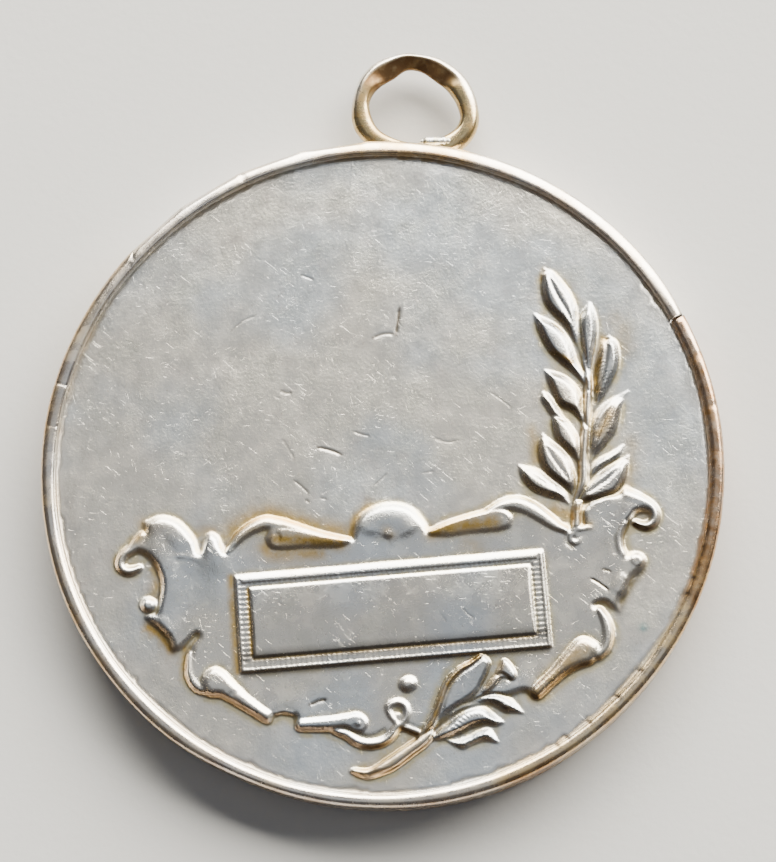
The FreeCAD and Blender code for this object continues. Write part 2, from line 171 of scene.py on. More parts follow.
class Relief:
    """Heights above the flat of the face, in mm, on a fine square grid in the die's frame."""

    def __init__(self, radius):
        """A flat face. tone is amber toning, the dark-dirt field holds dirt together with painted shade,
        and raised what stands above the flat.
        """
        half = int(math.ceil(radius / GRID / 8)) * 8
        self.axis = np.arange(-half, half + 1) * GRID
        self.u, self.v = np.meshgrid(self.axis, self.axis)
        self.h = np.zeros(self.u.shape)
        self.tone = np.zeros(self.u.shape)
        self.grime_and_shade = np.zeros(self.u.shape)
        self.raised = np.zeros(self.u.shape)

    def window(self, points, margin):
        """The part of the grid that the points span, with a margin."""
        low = np.searchsorted(self.axis, points.min(0) - margin)
        high = np.searchsorted(self.axis, points.max(0) + margin)
        return slice(low[1], high[1]), slice(low[0], high[0])

    def plate(self, ring, rise, edge, dish):
        """Raise all inside the ring, with a rounded edge and a slightly dished middle."""
        w = self.window(ring, WALL)
        d = inside(ring, self.u[w], self.v[w])
        body = rise * smooth((d + 0.06) / edge) - dish * smooth((d - edge) / 1.2)
        self.h[w] = np.maximum(self.h[w], body)
        self.raised[w] = np.maximum(self.raised[w], smooth(d / 0.3))

    def brim(self, points, level, rise, rounding, fall, ends):
        """Swell the edge along an outline stretch: round towards the edge, falling away inwards."""
        path = as_path(points)
        w = self.window(path, rounding + fall)
        d, t = to_path(path, self.u[w], self.v[w])
        fade = smooth(t / ends) * smooth((1 - t) / ends)
        bulge = rise * fade * (1 - smooth((d - rounding) / fall)) * smooth((d + 0.06) / rounding)
        self.h[w] += bulge * smooth(self.h[w] / level - 0.1)

    def swell(self, centre, size, rise, level):
        """A soft swelling of what already stands at the level, falling away gently on its lower side."""
        above = self.v - centre[1]
        away = np.hypot(self.u - centre[0], np.where(above > 0, above, 0.4 * above))
        self.h += rise * np.exp(-(away / size) ** 2) * smooth(self.h / level - 0.1)

    def pad(self, ring, level, rise, width, wall=WALL):
        """Lay a domed pad over what is there: level at its edge, and level + rise at width inside."""
        w = self.window(ring, wall)
        d = inside(ring, self.u[w], self.v[w])
        cover = smooth(d / wall + 0.5)
        self.h[w] += cover * (level + rise * dome(d / width) - self.h[w])

    def rod(self, points, half_widths, rise, level):
        """A rounded ridge along a path, standing on a level; its width changes along the way."""
        path = as_path(points)
        w = self.window(path, max(half_widths))
        d, t = to_path(path, self.u[w], self.v[w])
        half = np.maximum(np.interp(t, np.linspace(0, 1, len(half_widths)), half_widths), 1e-3)
        ridge = level + rise * np.clip(1 - (d / half) ** 2, 0, 1)
        self.h[w] = np.where(d < half, np.maximum(self.h[w], ridge), self.h[w])

    def groove(self, points, half_width, depth):
        """Cut a soft groove along a path, fading at its ends; a negative depth raises a soft ridge."""
        path = as_path(points)
        w = self.window(path, 3 * half_width)
        d, t = to_path(path, self.u[w], self.v[w])
        ends = smooth(t / 0.15) * smooth((1 - t) / 0.15) * 0.85 + 0.15
        self.h[w] -= depth * ends * np.exp(-(d / half_width) ** 2)

    def horn(self, upper, lower, level, rise):
        """A tapering horn, highest near its upper side and sloping down to its lower side."""
        crest = 0.15
        upper_side, lower_side = curve(upper), curve(lower + [upper[0]])
        ring = np.vstack([upper_side, lower_side[:-1]])
        w = self.window(ring, WALL)
        u, v = self.u[w], self.v[w]
        top, _ = to_path(upper_side, u, v)
        bottom, _ = to_path(lower_side, u, v)
        across = top / np.maximum(top + bottom, 1e-6)
        body = np.where(across < crest, dome(across / crest),
                        1 - 0.75 * (np.clip(across - crest, 0, 1) / (1 - crest)) ** 1.5)
        height = level + rise * body * np.sqrt(np.clip((top + bottom) / 0.5, 0, 1))
        cover = smooth(inside(ring, u, v) / 0.12 + 0.5)
        self.h[w] += cover * (height - self.h[w])
        self.raised[w] = np.maximum(self.raised[w], cover)

    def stain(self, points, half_width, strength, field=None):
        """Amber toning along a path, or another finish if its field is given."""
        field = self.tone if field is None else field
        path = as_path(points)
        w = self.window(path, 3 * half_width)
        d, _ = to_path(path, self.u[w], self.v[w])
        field[w] = np.maximum(field[w], strength * np.exp(-(d / half_width) ** 2))

    def leaf(self, base, left, tip, right, crest, level=0.08, rise=0.21, fall=0.6, lip=0.2, rib=None,
             rib_depth=0.05, hatch=0.016):
        """A leaf from its base by the left side to its tip, and back by the right side.

        crest is where between the sides the blade is highest, and lip and fall are how far it sinks from
        there to its left and right sides. rib is where its midrib is cut, and hatch the height of its fine
        uneven veins.
        """
        left_side = curve([base] + left + [tip])
        right_side = curve([tip] + right + [base])
        ring = np.vstack([left_side[:-1], right_side[:-1]])
        w = self.window(ring, WALL)
        u, v = self.u[w], self.v[w]
        d = inside(ring, u, v)
        from_left, _ = to_path(left_side, u, v)
        from_right, _ = to_path(right_side, u, v)
        width = from_left + from_right
        across = from_left / np.maximum(width, 1e-6)
        sink = np.where(across < crest, lip * (np.clip(crest - across, 0, 1) / crest) ** 1.6,
                        fall * (np.clip(across - crest, 0, 1) / (1 - crest)) ** 1.6)
        height = level + rise * smooth(d / 0.33) * (1 - sink) * np.sqrt(np.clip(width / 0.7, 0, 1))
        if rib is not None:
            height -= rib_depth * smooth(width / 0.3) * np.exp(-((across - rib) * width / 0.1) ** 2)
        axis = np.array(tip) - np.array(base)
        axis = axis / np.linalg.norm(axis)
        along = (u - base[0]) * axis[0] + (v - base[1]) * axis[1]
        sway = 2 * np.sin(1.9 * along + 4 * across)
        vein = np.sin(2 * math.pi * (along - 0.9 * across * width) / 0.21 + sway)
        patchy = 0.5 + 0.5 * np.sin(3.1 * along + 7 * across + tip[1])
        height += hatch * patchy * vein * smooth(d / 0.3)
        cover = smooth(d / WALL + 0.5)
        self.h[w] += cover * (height - self.h[w])
        self.raised[w] = np.maximum(self.raised[w], cover)
        self.grime_and_shade[w] = np.maximum(self.grime_and_shade[w], 0.14 * cover)

    def soften(self, passes):
        """Round off the creases, as wear does."""
        self.h = blurred(self.h, passes)


def blurred(field, passes):
    """The field averaged with its neighbours again and again."""
    out = field.copy()
    for _ in range(passes):
        p = np.pad(out, 1, mode="edge")
        rows = (p[:-2] + 2 * p[1:-1] + p[2:]) / 4
        out = (rows[:, :-2] + 2 * rows[:, 1:-1] + rows[:, 2:]) / 4
    return out


# ---------------------------------------------------------------- what is struck on the face

PLATE = 0.2
PLAQUE_CENTRE = (0.02, -7.55)
PLAQUE_HALF = (7.56, 2.42)
# where the speck of verdigris lies
VERDIGRIS = (12.05, -9.35)

# the cartouche's lobes, by their outer edges
LEFT_LOBE = [(-9.15, -3.75), (-9.3, -3.15), (-9.62, -2.62), (-10.05, -2.15), (-10.55, -1.88),
             (-11.1, -1.82), (-11.87, -2.07)]
SMALL_LOBE = [(-7.85, -3.85), (-8.0, -3.5), (-8.15, -3.1), (-8.53, -2.85), (-8.88, -3.08), (-9.05, -3.55)]
CENTRE_LOBE = [(2.2, -3.75), (1.93, -3.13), (1.53, -2.6), (1.0, -2.27), (0.25, -2.13), (-0.5, -2.25),
               (-1.1, -2.55), (-1.5, -3.0), (-1.73, -3.75)]


def strike_plate(r):
    """The raised plate of the cartouche, with its scrolled edge."""
    ring = ring_of(
        LEFT_LOBE[:-1],
        [(-11.87, -2.07), (-11.82, -2.45), (-12.05, -2.85), (-12.47, -3.13), (-12.93, -3.45),
         (-13.2, -3.78), (-13.27, -4.15), (-13.07, -4.53), (-12.67, -4.7), (-12.27, -4.6)],
        [(-12.0, -4.33), (-12.3, -4.22), (-12.62, -4.28), (-12.86, -4.08), (-12.75, -3.76), (-12.35, -3.6)],
        [(-12.3, -3.6), (-11.87, -3.8), (-11.47, -4.27), (-11.27, -4.8), (-11.2, -5.33), (-11.32, -5.95)],
        [(-11.5, -6.6), (-12.05, -6.72), (-11.8, -7.07), (-11.33, -7.53), (-11.0, -7.93), (-10.85, -8.3)],
        [(-10.82, -8.62), (-10.35, -8.58), (-10.0, -8.33)],
        [(-9.55, -7.95), (-9.88, -8.35), (-10.05, -8.9), (-10.15, -9.4), (-10.15, -9.9), (-10.0, -10.35),
         (-9.6, -10.8), (-9.15, -10.97), (-8.6, -11.02), (-8.2, -11.25), (-7.6, -11.62), (-7.0, -12.12)],
        [(-6.42, -12.52), (-6.2, -12.28), (-5.95, -12.1), (-5.65, -12.05), (-5.3, -12.12), (-5.08, -12.35)],
        [(-4.98, -12.9), (-4.3, -13.05), (-3.5, -13.15), (-2.9, -13.3), (-2.42, -13.58), (-2.0, -13.9),
         (-1.5, -14.05), (-0.95, -14.0), (-0.5, -13.75), (-0.2, -13.4)],
        [(0.0, -13.1), (0.45, -13.35)],
        [(0.95, -13.6), (3.5, -12.6)],
        [(5.6, -12.1), (5.9, -12.02), (6.2, -12.08)],
        [(6.65, -12.42), (7.3, -11.95), (8.0, -11.45), (8.6, -11.12), (9.3, -10.95), (9.85, -10.78),
         (10.25, -10.4), (10.5, -9.9), (10.55, -9.4), (10.42, -8.9), (10.2, -8.5)],
        [(9.92, -8.1), (10.25, -8.05), (10.55, -8.3)],
        [(10.95, -8.5), (11.1, -7.98), (11.45, -7.62), (11.62, -7.15), (11.9, -6.85), (12.3, -6.6)],
        [(12.4, -6.3), (11.95, -5.65)],
        [(11.55, -5.7), (11.47, -5.33), (11.53, -4.8), (11.73, -4.4)],
        [(12.12, -4.05), (12.3, -3.82), (12.58, -3.76), (12.84, -3.88), (12.88, -4.06), (12.66, -4.22),
         (12.38, -4.2)],
        [(12.1, -4.15), (12.33, -4.42), (12.73, -4.55), (13.15, -4.42), (13.4, -4.0), (13.33, -3.53),
         (13.0, -3.18), (12.6, -2.85), (12.2, -2.52)],
        [(11.87, -2.27), (11.4, -2.6), (10.5, -2.6)],
        [(9.55, -3.3), (9.5, -4.1)],
        [(9.0, -4.15), (8.9, -3.95)],
        [(8.35, -3.95), (8.1, -3.72), (7.7, -3.33), (7.3, -2.98), (6.8, -2.65), (6.3, -2.45),
         (5.67, -2.57)],
        [(4.9, -2.95), (4.0, -3.2), (3.0, -3.42)],
        CENTRE_LOBE[:-1],
        [(-1.73, -3.75), (-2.4, -3.68), (-3.0, -3.5), (-4.0, -3.18), (-5.0, -2.8), (-5.73, -2.38),
         (-6.3, -2.5), (-6.9, -2.85), (-7.4, -3.32)],
        SMALL_LOBE[:-1],
    )
    r.plate(ring, PLATE, 0.42, 0.05)


def strike_lobes(r):
    """The swollen edges of the left, the small and the centre lobe."""
    r.brim(LEFT_LOBE, PLATE, 0.05, 0.6, 0.8, 0.2)
    r.groove([(-10.45, -3.95), (-9.8, -4.02), (-9.05, -4.3)], 0.09, -0.03)
    r.groove([(-10.4, -4.12), (-9.8, -4.2), (-9.15, -4.45)], 0.09, 0.012)
    r.swell((-8.4, -3.95), 0.7, 0.18, PLATE)
    r.swell((-10.7, -3.35), 1.1, 0.15, PLATE)
    r.brim(CENTRE_LOBE, PLATE, 0.14, 1.0, 1.6, 0.12)
    r.rod([(0.1, -3.66), (0.22, -3.68)], [0.3, 0.3], 0.1, 0.18)


def strike_scrolls(r):
    """The curled ends and the round eyes along the plate's two sides."""
    # left: the arm of the curl swells a little, and the round eye has a dimple
    r.rod([(-11.9, -2.75), (-12.4, -3.35), (-12.85, -3.62), (-13.05, -3.95), (-13.02, -4.28),
           (-12.75, -4.47), (-12.4, -4.45), (-12.12, -4.33)],
          [0.18, 0.28, 0.22, 0.21, 0.22, 0.2, 0.18, 0.1], 0.12, 0.12)
    r.rod([(-11.83, -6.22), (-11.77, -6.24)], [0.35, 0.35], 0.24, 0.08)
    r.groove([(-11.8, -6.22), (-11.74, -6.24)], 0.13, 0.14)
    # right: the same, with a flat shoulder above the curl
    r.rod([(11.9, -2.85), (12.45, -3.1), (12.95, -3.4), (13.17, -3.75), (13.12, -4.15),
           (12.8, -4.4), (12.45, -4.36), (12.18, -4.2)],
          [0.3, 0.32, 0.24, 0.2, 0.2, 0.19, 0.15, 0.1], 0.12, 0.13)
    r.rod([(11.65, -4.2), (11.32, -4.75), (11.28, -5.3), (11.4, -5.75)], [0.14, 0.19, 0.19, 0.2],
          0.12, 0.13)
    r.groove([(11.0, -4.6), (10.98, -5.2), (11.05, -5.8)], 0.1, 0.03)
    r.swell((12.1, -3.5), 0.75, 0.15, PLATE)
    r.rod([(12.0, -6.08), (12.08, -6.1)], [0.39, 0.39], 0.24, 0.08)
    r.groove([(11.98, -6.07), (12.1, -6.11)], 0.13, 0.14)
    # the lower shoulders roll over towards their tips
    r.groove([(-11.3, -6.9), (-10.95, -7.35), (-10.7, -7.8)], 0.28, -0.05)
    r.groove([(11.5, -6.75), (11.15, -7.15), (10.85, -7.6)], 0.3, -0.06)
    # the small curl at the slit that the spray's stem comes through
    r.rod([(9.15, -4.28), (9.55, -4.3), (9.98, -4.27)], [0.15, 0.15, 0.08], 0.12, 0.16)
    r.rod(arc((9.15, -4.72), 0.24, 80, 330), [0.12, 0.16], 0.1, 0.16)
    r.groove([(8.8, -4.5), (8.85, -4.95), (9.15, -5.2)], 0.14, 0.07)
    r.groove([(9.3, -4.72), (9.15, -4.8)], 0.1, 0.08)


def strike_horns(r):
    """The two pairs of tapering horns with their ribbons, and the rounded tails below."""
    # ribbons that rise from behind the horns and run out to the sides
    r.rod([(-7.75, -3.95), (-7.45, -3.62), (-7.0, -3.2), (-6.45, -2.9), (-5.85, -2.72),
           (-5.3, -2.85), (-4.4, -3.15), (-3.2, -3.55), (-1.8, -3.9)],
          [0.16, 0.28, 0.34, 0.38, 0.38, 0.3, 0.22, 0.16, 0.1], 0.2, 0.14)
    r.rod([(8.75, -4.3), (8.3, -4.05), (7.7, -3.55), (7.1, -3.1), (6.5, -2.83), (5.9, -2.82),
           (5.1, -3.0)],
          [0.18, 0.32, 0.38, 0.42, 0.42, 0.3, 0.1], 0.2, 0.14)
    # horns, by their upper sides and then their lower sides
    r.horn([(-5.86, -3.45), (-5.5, -3.02), (-4.6, -3.05), (-3.0, -3.58), (-1.7, -3.88)],
           [(-1.7, -4.02), (-2.4, -4.18), (-4.0, -4.05), (-5.5, -3.95)], 0.2, 0.16)
    r.horn([(6.25, -3.5), (5.95, -3.12), (5.3, -2.98), (4.0, -3.18), (3.0, -3.42), (2.1, -3.76)],
           [(2.1, -4.02), (3.0, -4.1), (4.0, -4.02), (5.85, -3.95)], 0.2, 0.16)
    # a curl inside each horn's plump end
    r.groove(arc((-5.45, -3.45), 0.24, -80, 190, 20), 0.07, 0.06)
    r.groove([(5.3, -3.42), (5.6, -3.3), (5.9, -3.42), (5.85, -3.62)], 0.06, 0.03)
    # rounded tails
    left_tail = curve([(-9.45, -10.4), (-9.33, -9.88), (-8.8, -9.57), (-8.35, -9.75), (-8.0, -10.15),
                       (-7.3, -10.95), (-6.6, -11.6), (-6.15, -11.98), (-6.35, -12.42), (-7.0, -12.0),
                       (-7.7, -11.52), (-8.5, -11.0), (-9.1, -10.87)], closed=True)
    r.pad(left_tail, 0.14, 0.27, 0.5)
    right_tail = curve([(9.75, -10.4), (9.75, -9.95), (9.2, -9.6), (8.75, -9.7), (8.2, -10.2),
                        (7.4, -11.0), (6.6, -11.65), (6.32, -11.98), (6.65, -12.35), (7.4, -11.8),
                        (8.1, -11.3), (8.8, -11.0), (9.4, -10.85)], closed=True)
    r.pad(right_tail, 0.14, 0.27, 0.5)
    r.groove([(-8.3, -10.6), (-7.95, -10.92), (-7.6, -10.8)], 0.07, 0.035)
    r.groove([(-8.15, -10.95), (-7.8, -10.95)], 0.06, 0.03)
    # the plate's lower corners turn up beside the tails
    r.rod([(-9.92, -8.7), (-10.0, -9.3), (-9.93, -9.95), (-9.6, -10.45), (-9.3, -10.6)],
          [0.05, 0.12, 0.2, 0.24, 0.18], 0.13, 0.14)
    r.rod([(10.0, -8.35), (10.22, -8.9), (10.28, -9.55), (10.12, -10.15), (9.75, -10.5)],
          [0.16, 0.27, 0.3, 0.26, 0.2], 0.16, 0.14)


def strike_lower_edge(r):
    """The lower centre horn with its volute, the curve under it, the open curl and the dot."""
    horn = ring_of(
        [(-4.95, -12.42), (-3.6, -12.42), (-2.7, -12.38), (-2.05, -12.33), (-1.65, -12.62),
         (-1.62, -13.0), (-1.9, -13.25), (-2.35, -13.2), (-2.7, -13.0), (-3.5, -13.0)],
        [(-4.95, -12.9), (-5.02, -12.7)],
    )
    r.pad(horn, 0.16, 0.2, 0.26, 0.14)
    r.groove(arc((-2.02, -12.85), 0.2, -190, 100, 20), 0.08, 0.1)
    r.groove([(-2.0, -12.83), (-1.97, -12.86)], 0.07, -0.03)
    r.rod([(-3.2, -13.1), (-2.6, -13.32), (-2.1, -13.68), (-1.55, -13.84), (-0.95, -13.8),
           (-0.5, -13.52), (-0.2, -13.15), (0.12, -12.95), (0.33, -12.6), (0.3, -12.2),
           (0.02, -11.98), (-0.32, -12.02), (-0.53, -12.2), (-0.45, -12.6), (-0.2, -12.95)],
          [0.08, 0.17, 0.22, 0.22, 0.21, 0.19, 0.18, 0.18, 0.18, 0.18, 0.18, 0.17, 0.16, 0.14, 0.1],
          0.17, 0.14)
    r.groove([(-2.5, -13.0), (-1.9, -13.5), (-1.2, -13.5), (-0.6, -13.15)], 0.16, 0.08)
    r.groove([(-0.15, -12.3), (-0.05, -12.6)], 0.14, 0.08)
    r.rod([(-0.1, -12.62), (-0.05, -12.6)], [0.14, 0.14], 0.12, 0.12)
    r.rod([(0.05, -13.1), (0.5, -13.32), (0.95, -13.55)], [0.14, 0.15, 0.13], 0.1, 0.14)
    r.rod([(0.44, -11.17), (0.56, -11.13)], [0.4, 0.4], 0.24, 0.13)
    r.rod([(-6.0, -12.0), (-5.6, -11.92), (-5.15, -12.05)], [0.08, 0.12, 0.1], 0.06, 0.15)


def strike_plaque(r):
    """The blank plaque: a rounded border, a band of fine ribs and a raised panel."""
    u, v = r.u - PLAQUE_CENTRE[0], r.v - PLAQUE_CENTRE[1]
    side = PLAQUE_HALF[0] - np.abs(u)
    end = PLAQUE_HALF[1] - np.abs(v)
    depth = np.minimum(side, end)
    at_ends = side < end
    across_top = ~at_ends & (v > 0)
    # the border is broad along the top, and narrow beside the ribs at the ends and the bottom
    border_width = np.where(at_ends, 0.2, np.where(across_top, 0.42, 0.16))
    band_end = 0.68
    border = PLATE - 0.02 + 0.13 * np.sin(np.clip(depth / border_width, 0, 1) * math.pi / 2)
    in_band = smooth((depth - border_width + 0.05) / 0.1) * smooth((band_end - depth) / 0.06)
    ribs = np.cos(2 * math.pi * np.where(at_ends, v, u) / 0.25)
    band = PLATE + 0.05 + np.where(at_ends, 0.019, 0.008) * ribs
    height = border + in_band * (band - border)
    panel = smooth((side - band_end) / 0.2) * smooth((end - band_end) / np.where(v > 0, 0.2, 0.5))
    height += panel * (PLATE + 0.1 + 0.07 * np.cos(v / 1.74 * math.pi / 2) - height)
    height -= 0.07 * np.exp(-((depth - band_end) / 0.07) ** 2)
    cover = smooth((side + 0.08) / 0.14) * smooth(np.where(v > 0, (end + 0.08) / 0.14, (end + 0.2) / 0.3))
    r.h += cover * (height - r.h)
    r.raised = np.maximum(r.raised, panel)
    # painted shade: the panel's lower slope and the plaque's lower outer wall, which face away from the
    # light, are darkened; the whole panel also gets a little real grime
    below = (v < 0) * smooth(side / 0.2)
    shade = np.maximum(np.exp(-((end - band_end - 0.1) / 0.3) ** 2), np.exp(-((end + 0.08) / 0.16) ** 2))
    r.grime_and_shade = np.maximum(r.grime_and_shade, np.maximum(0.13 * panel, 0.62 * below * shade))


def strike_upper_spray(r):
    """The laurel spray that rises at the right, its leaves laid from the lowest up."""
    r.rod([(9.3, -4.1), (9.45, -3.2), (9.85, -2.0), (10.0, -0.6), (10.25, 0.8), (10.5, 2.2),
           (10.62, 3.5), (10.5, 4.6)],
          [0.24, 0.24, 0.24, 0.22, 0.2, 0.2, 0.18, 0.12], 0.24, 0.06)
    r.leaf((10.15, -1.9), [(10.35, -1.2), (10.8, -0.85), (11.3, -0.65)], (12.02, -0.28),
           [(11.75, -0.8), (11.3, -1.12), (10.8, -1.4)], rise=0.2, crest=0.5)
    r.leaf((9.35, -2.9), [(9.85, -2.25), (10.4, -1.75), (11.0, -1.35), (11.6, -1.08)], (12.22, -0.82),
           [(12.12, -1.3), (12.02, -1.8), (11.75, -2.3), (11.4, -2.66), (10.9, -2.84), (10.2, -2.98)],
           rise=0.26, crest=0.62, fall=0.12, lip=0.4, rib=0.42, rib_depth=0.07)
    r.leaf((10.3, -0.95), [(10.35, 0.1), (10.5, 0.9), (10.85, 1.5), (11.5, 2.0)], (12.52, 2.42),
           [(12.2, 1.9), (11.98, 1.2), (11.75, 0.55), (11.3, 0.0), (10.8, -0.5)],
           crest=0.7, fall=0.1, lip=0.4, rib=0.42, rib_depth=0.08, hatch=0.02)
    r.leaf((10.72, 1.65), [(10.8, 2.5), (10.95, 3.4), (11.2, 4.4), (11.5, 5.05)], (11.85, 5.32),
           [(12.2, 4.95), (12.27, 4.3), (12.15, 3.65), (11.8, 3.0), (11.3, 2.3)],
           crest=0.62, fall=0.12, lip=0.3, rib=0.38, rib_depth=0.11, hatch=0.022)
    r.leaf((10.68, 3.2), [(10.45, 4.4), (10.4, 5.4), (10.5, 6.4)], (11.08, 7.12),
           [(11.27, 6.6), (11.32, 5.9), (11.2, 5.1), (10.95, 4.2)], crest=0.4, fall=0.25)
    r.leaf((9.05, -2.95), [(8.6, -2.72), (8.0, -2.5), (7.45, -2.22), (7.05, -1.8), (6.85, -1.35)],
           (6.8, -0.85), [(7.3, -0.98), (7.85, -1.25), (8.4, -1.75), (8.95, -2.35)],
           crest=0.3, rib=0.62, rib_depth=0.03)
    r.leaf((9.8, -1.0), [(9.2, -0.3), (8.75, 0.3), (8.62, 1.0)], (8.7, 1.78),
           [(9.15, 1.42), (9.55, 0.9), (9.8, 0.35), (9.93, -0.2)], crest=0.4)
    r.leaf((9.3, -2.5), [(8.8, -2.05), (8.35, -1.65), (8.0, -1.2), (7.82, -0.6), (7.85, 0.05)],
           (8.1, 0.62), [(8.5, 0.22), (8.95, -0.2), (9.3, -0.75), (9.48, -1.4), (9.52, -2.0)],
           rise=0.24, crest=0.35, rib=0.5, rib_depth=0.04)
    r.leaf((9.2, 1.2), [(8.65, 1.5), (8.4, 1.95), (8.22, 2.4)], (8.33, 2.75), [(8.6, 2.55), (8.9, 2.1)],
           rise=0.18, crest=0.5)
    r.leaf((10.28, 0.75), [(9.95, 1.25), (9.6, 1.66), (9.25, 1.85), (8.95, 2.15), (8.75, 2.75), (8.6, 3.3)],
           (8.53, 3.85), [(9.05, 3.68), (9.55, 3.4), (9.95, 2.95), (10.18, 2.4), (10.25, 1.6)],
           rise=0.24, crest=0.32)
    r.leaf((10.5, 2.6), [(10.3, 3.1), (9.85, 3.65), (9.3, 4.2), (8.85, 4.75), (8.55, 5.4), (8.35, 6.1)],
           (8.28, 6.78), [(8.75, 6.5), (9.25, 6.15), (9.7, 5.6), (9.98, 4.9), (10.15, 4.1), (10.45, 3.4)],
           rise=0.24, crest=0.32)
    r.leaf((10.55, 3.4), [(10.35, 4.6), (10.05, 5.4), (9.65, 6.15), (9.15, 6.75), (8.85, 7.3), (8.75, 8.0),
                          (8.82, 8.6)],
           (8.98, 9.1), [(9.4, 8.85), (9.85, 8.25), (10.2, 7.6), (10.38, 6.9), (10.4, 6.1), (10.5, 5.0)],
           rise=0.24, crest=0.3, rib=0.52, rib_depth=0.08)


def strike_lower_spray(r):
    """The short spray with a cut stem that lies across the plate's lower edge."""
    r.leaf((2.1, -13.95), [(2.6, -14.02), (3.2, -13.88), (3.6, -13.7), (4.05, -13.57), (4.3, -13.7)],
           (4.58, -14.28), [(4.2, -14.2), (3.8, -14.15), (3.3, -14.28), (2.8, -14.42)],
           crest=0.65, lip=0.55)
    r.leaf((1.25, -13.9), [(1.7, -13.5), (2.2, -13.15), (2.8, -12.72), (3.4, -12.5), (4.0, -12.52),
                           (4.4, -12.85)],
           (4.92, -13.36), [(4.5, -13.48), (4.0, -13.4), (3.4, -13.48), (2.7, -13.75), (2.0, -13.92)],
           rise=0.24, crest=0.65, lip=0.55)
    r.leaf((3.1, -12.35), [(3.6, -12.12), (4.2, -11.93), (4.8, -11.93), (5.3, -12.18), (5.6, -12.55)],
           (5.88, -12.98), [(5.5, -12.92), (5.0, -12.85), (4.6, -12.55), (4.1, -12.35)],
           rise=0.24, crest=0.65, lip=0.55)
    bud = curve([(4.0, -11.85), (4.3, -11.5), (4.7, -11.05), (4.95, -10.6), (5.2, -10.32), (5.5, -10.55),
                 (5.75, -11.1), (5.6, -11.4), (5.3, -11.35), (5.0, -11.25), (4.7, -11.6), (4.3, -11.85)],
                closed=True)
    r.pad(bud, 0.16, 0.2, 0.35)
    r.groove([(4.7, -11.15), (5.05, -11.05), (5.45, -11.4)], 0.08, 0.09)
    r.leaf((1.15, -13.8), [(1.5, -13.1), (1.85, -12.4), (2.15, -11.7), (2.55, -11.1), (3.1, -10.62),
                           (3.65, -10.33)],
           (4.3, -9.9), [(4.62, -10.35), (4.5, -10.85), (4.2, -11.4), (3.85, -11.88), (3.3, -12.25),
                         (2.6, -12.6), (2.0, -13.0)],
           level=0.14, rise=0.22, crest=0.5, fall=0.15, hatch=0.007)
    r.rod([(1.0, -13.85), (1.55, -13.0), (1.95, -12.2), (2.35, -11.35), (2.95, -10.75),
           (3.6, -10.42), (4.1, -10.1)],
          [0.28, 0.22, 0.18, 0.17, 0.16, 0.15, 0.08], 0.16, 0.24)
    stem = ring_of(
        [(-2.62, -15.08), (-2.4, -14.97), (-1.7, -15.05), (-0.9, -14.66), (0.0, -14.15), (0.8, -13.72)],
        [(1.5, -13.35), (1.5, -13.7), (1.15, -14.12), (0.4, -14.6), (-0.5, -15.15)],
        [(-1.75, -15.62), (-2.1, -15.45)],
    )
    r.pad(stem, 0.12, 0.26, 0.38)


def nick_face(r):
    """Dents and nicks that knocks have left in the flat of the face and on the plaque."""
    cuts = [
        # path, half width, depth
        ([(1.6, 7.7), (1.45, 7.0), (1.3, 6.35)], 0.11, 0.05),
        ([(1.25, 6.4), (0.7, 6.45), (0.15, 6.3)], 0.09, 0.04),
        ([(-3.0, 0.95), (-2.4, 0.75), (-1.85, 0.48)], 0.08, 0.05),
        ([(-1.2, 1.6), (-0.85, 1.45), (-0.4, 1.3)], 0.06, 0.03),
        ([(0.3, -0.65), (-0.4, -1.25)], 0.06, 0.02),
        ([(-4.3, -0.6), (-3.95, -0.95), (-3.6, -1.35)], 0.06, 0.03),
        ([(-4.7, 1.5), (-4.4, 0.9), (-4.2, 0.4)], 0.06, 0.015),
        ([(-3.2, 9.9), (-2.6, 9.6)], 0.06, 0.03),
        ([(-6.9, 7.3), (-6.3, 7.75), (-5.6, 8.0)], 0.06, 0.02),
        ([(-4.6, 4.0), (-4.35, 3.85), (-4.1, 3.85)], 0.09, 0.03),
        ([(2.75, 0.9), (3.4, 0.65), (3.9, 0.7)], 0.06, 0.02),
        ([(2.0, -0.8), (2.6, -0.75)], 0.06, 0.02),
        ([(5.7, 3.0), (6.2, 2.6), (6.7, 2.1)], 0.05, 0.02),
        ([(9.75, -6.75), (10.1, -7.0), (10.55, -7.4)], 0.07, 0.06),
        ([(10.35, -6.35), (10.75, -6.5)], 0.07, 0.04),
        ([(-4.3, -11.75), (-3.9, -11.6), (-3.5, -11.55)], 0.11, 0.05),
        ([(3.45, -7.7), (3.65, -8.0), (3.95, -8.25)], 0.05, 0.025),
        ([(2.35, -7.9), (2.6, -8.3)], 0.05, 0.02),
        ([(-5.5, -6.6), (-5.3, -6.8)], 0.06, 0.02),
        ([(-3.8, -1.65), (-3.6, -1.8)], 0.06, 0.03),
        ([(-3.1, -1.6), (-2.75, -1.7)], 0.06, 0.025),
    ]
    for path, half_width, depth in cuts:
        r.groove(path, half_width, 0.7 * depth)
        r.stain(path, 0.8 * half_width, min(16 * depth, 0.9), r.grime_and_shade)
    # fine scratches, evenly strewn inside the rim
    strewn_radius = 15.2
    rng = np.random.default_rng(11)
    for _ in range(260):
        angle = rng.uniform(0, 2 * math.pi)
        radius = strewn_radius * math.sqrt(rng.uniform(0, 1))
        start = np.array([radius * math.cos(angle), radius * math.sin(angle)])
        turn = rng.uniform(0, math.pi)
        length = rng.uniform(0.05, 0.35)
        end = start + length * np.array([math.cos(turn), math.sin(turn)])
        r.groove([start, end], rng.uniform(0.045, 0.06), rng.uniform(0.001, 0.007))
    # the flat of the sheet is not quite flat, except beside the rim
    for _ in range(14):
        direction = rng.uniform(0, 2 * math.pi)
        pitch = rng.uniform(3.0, 9.0)
        phase = rng.uniform(0, 2 * math.pi)
        along = r.u * math.cos(direction) + r.v * math.sin(direction)
        r.h += 0.00072 * pitch * np.sin(2 * math.pi * along / pitch + phase)
    r.h *= smooth((SHEET - 0.5 - np.hypot(r.u, r.v)) / 0.8)


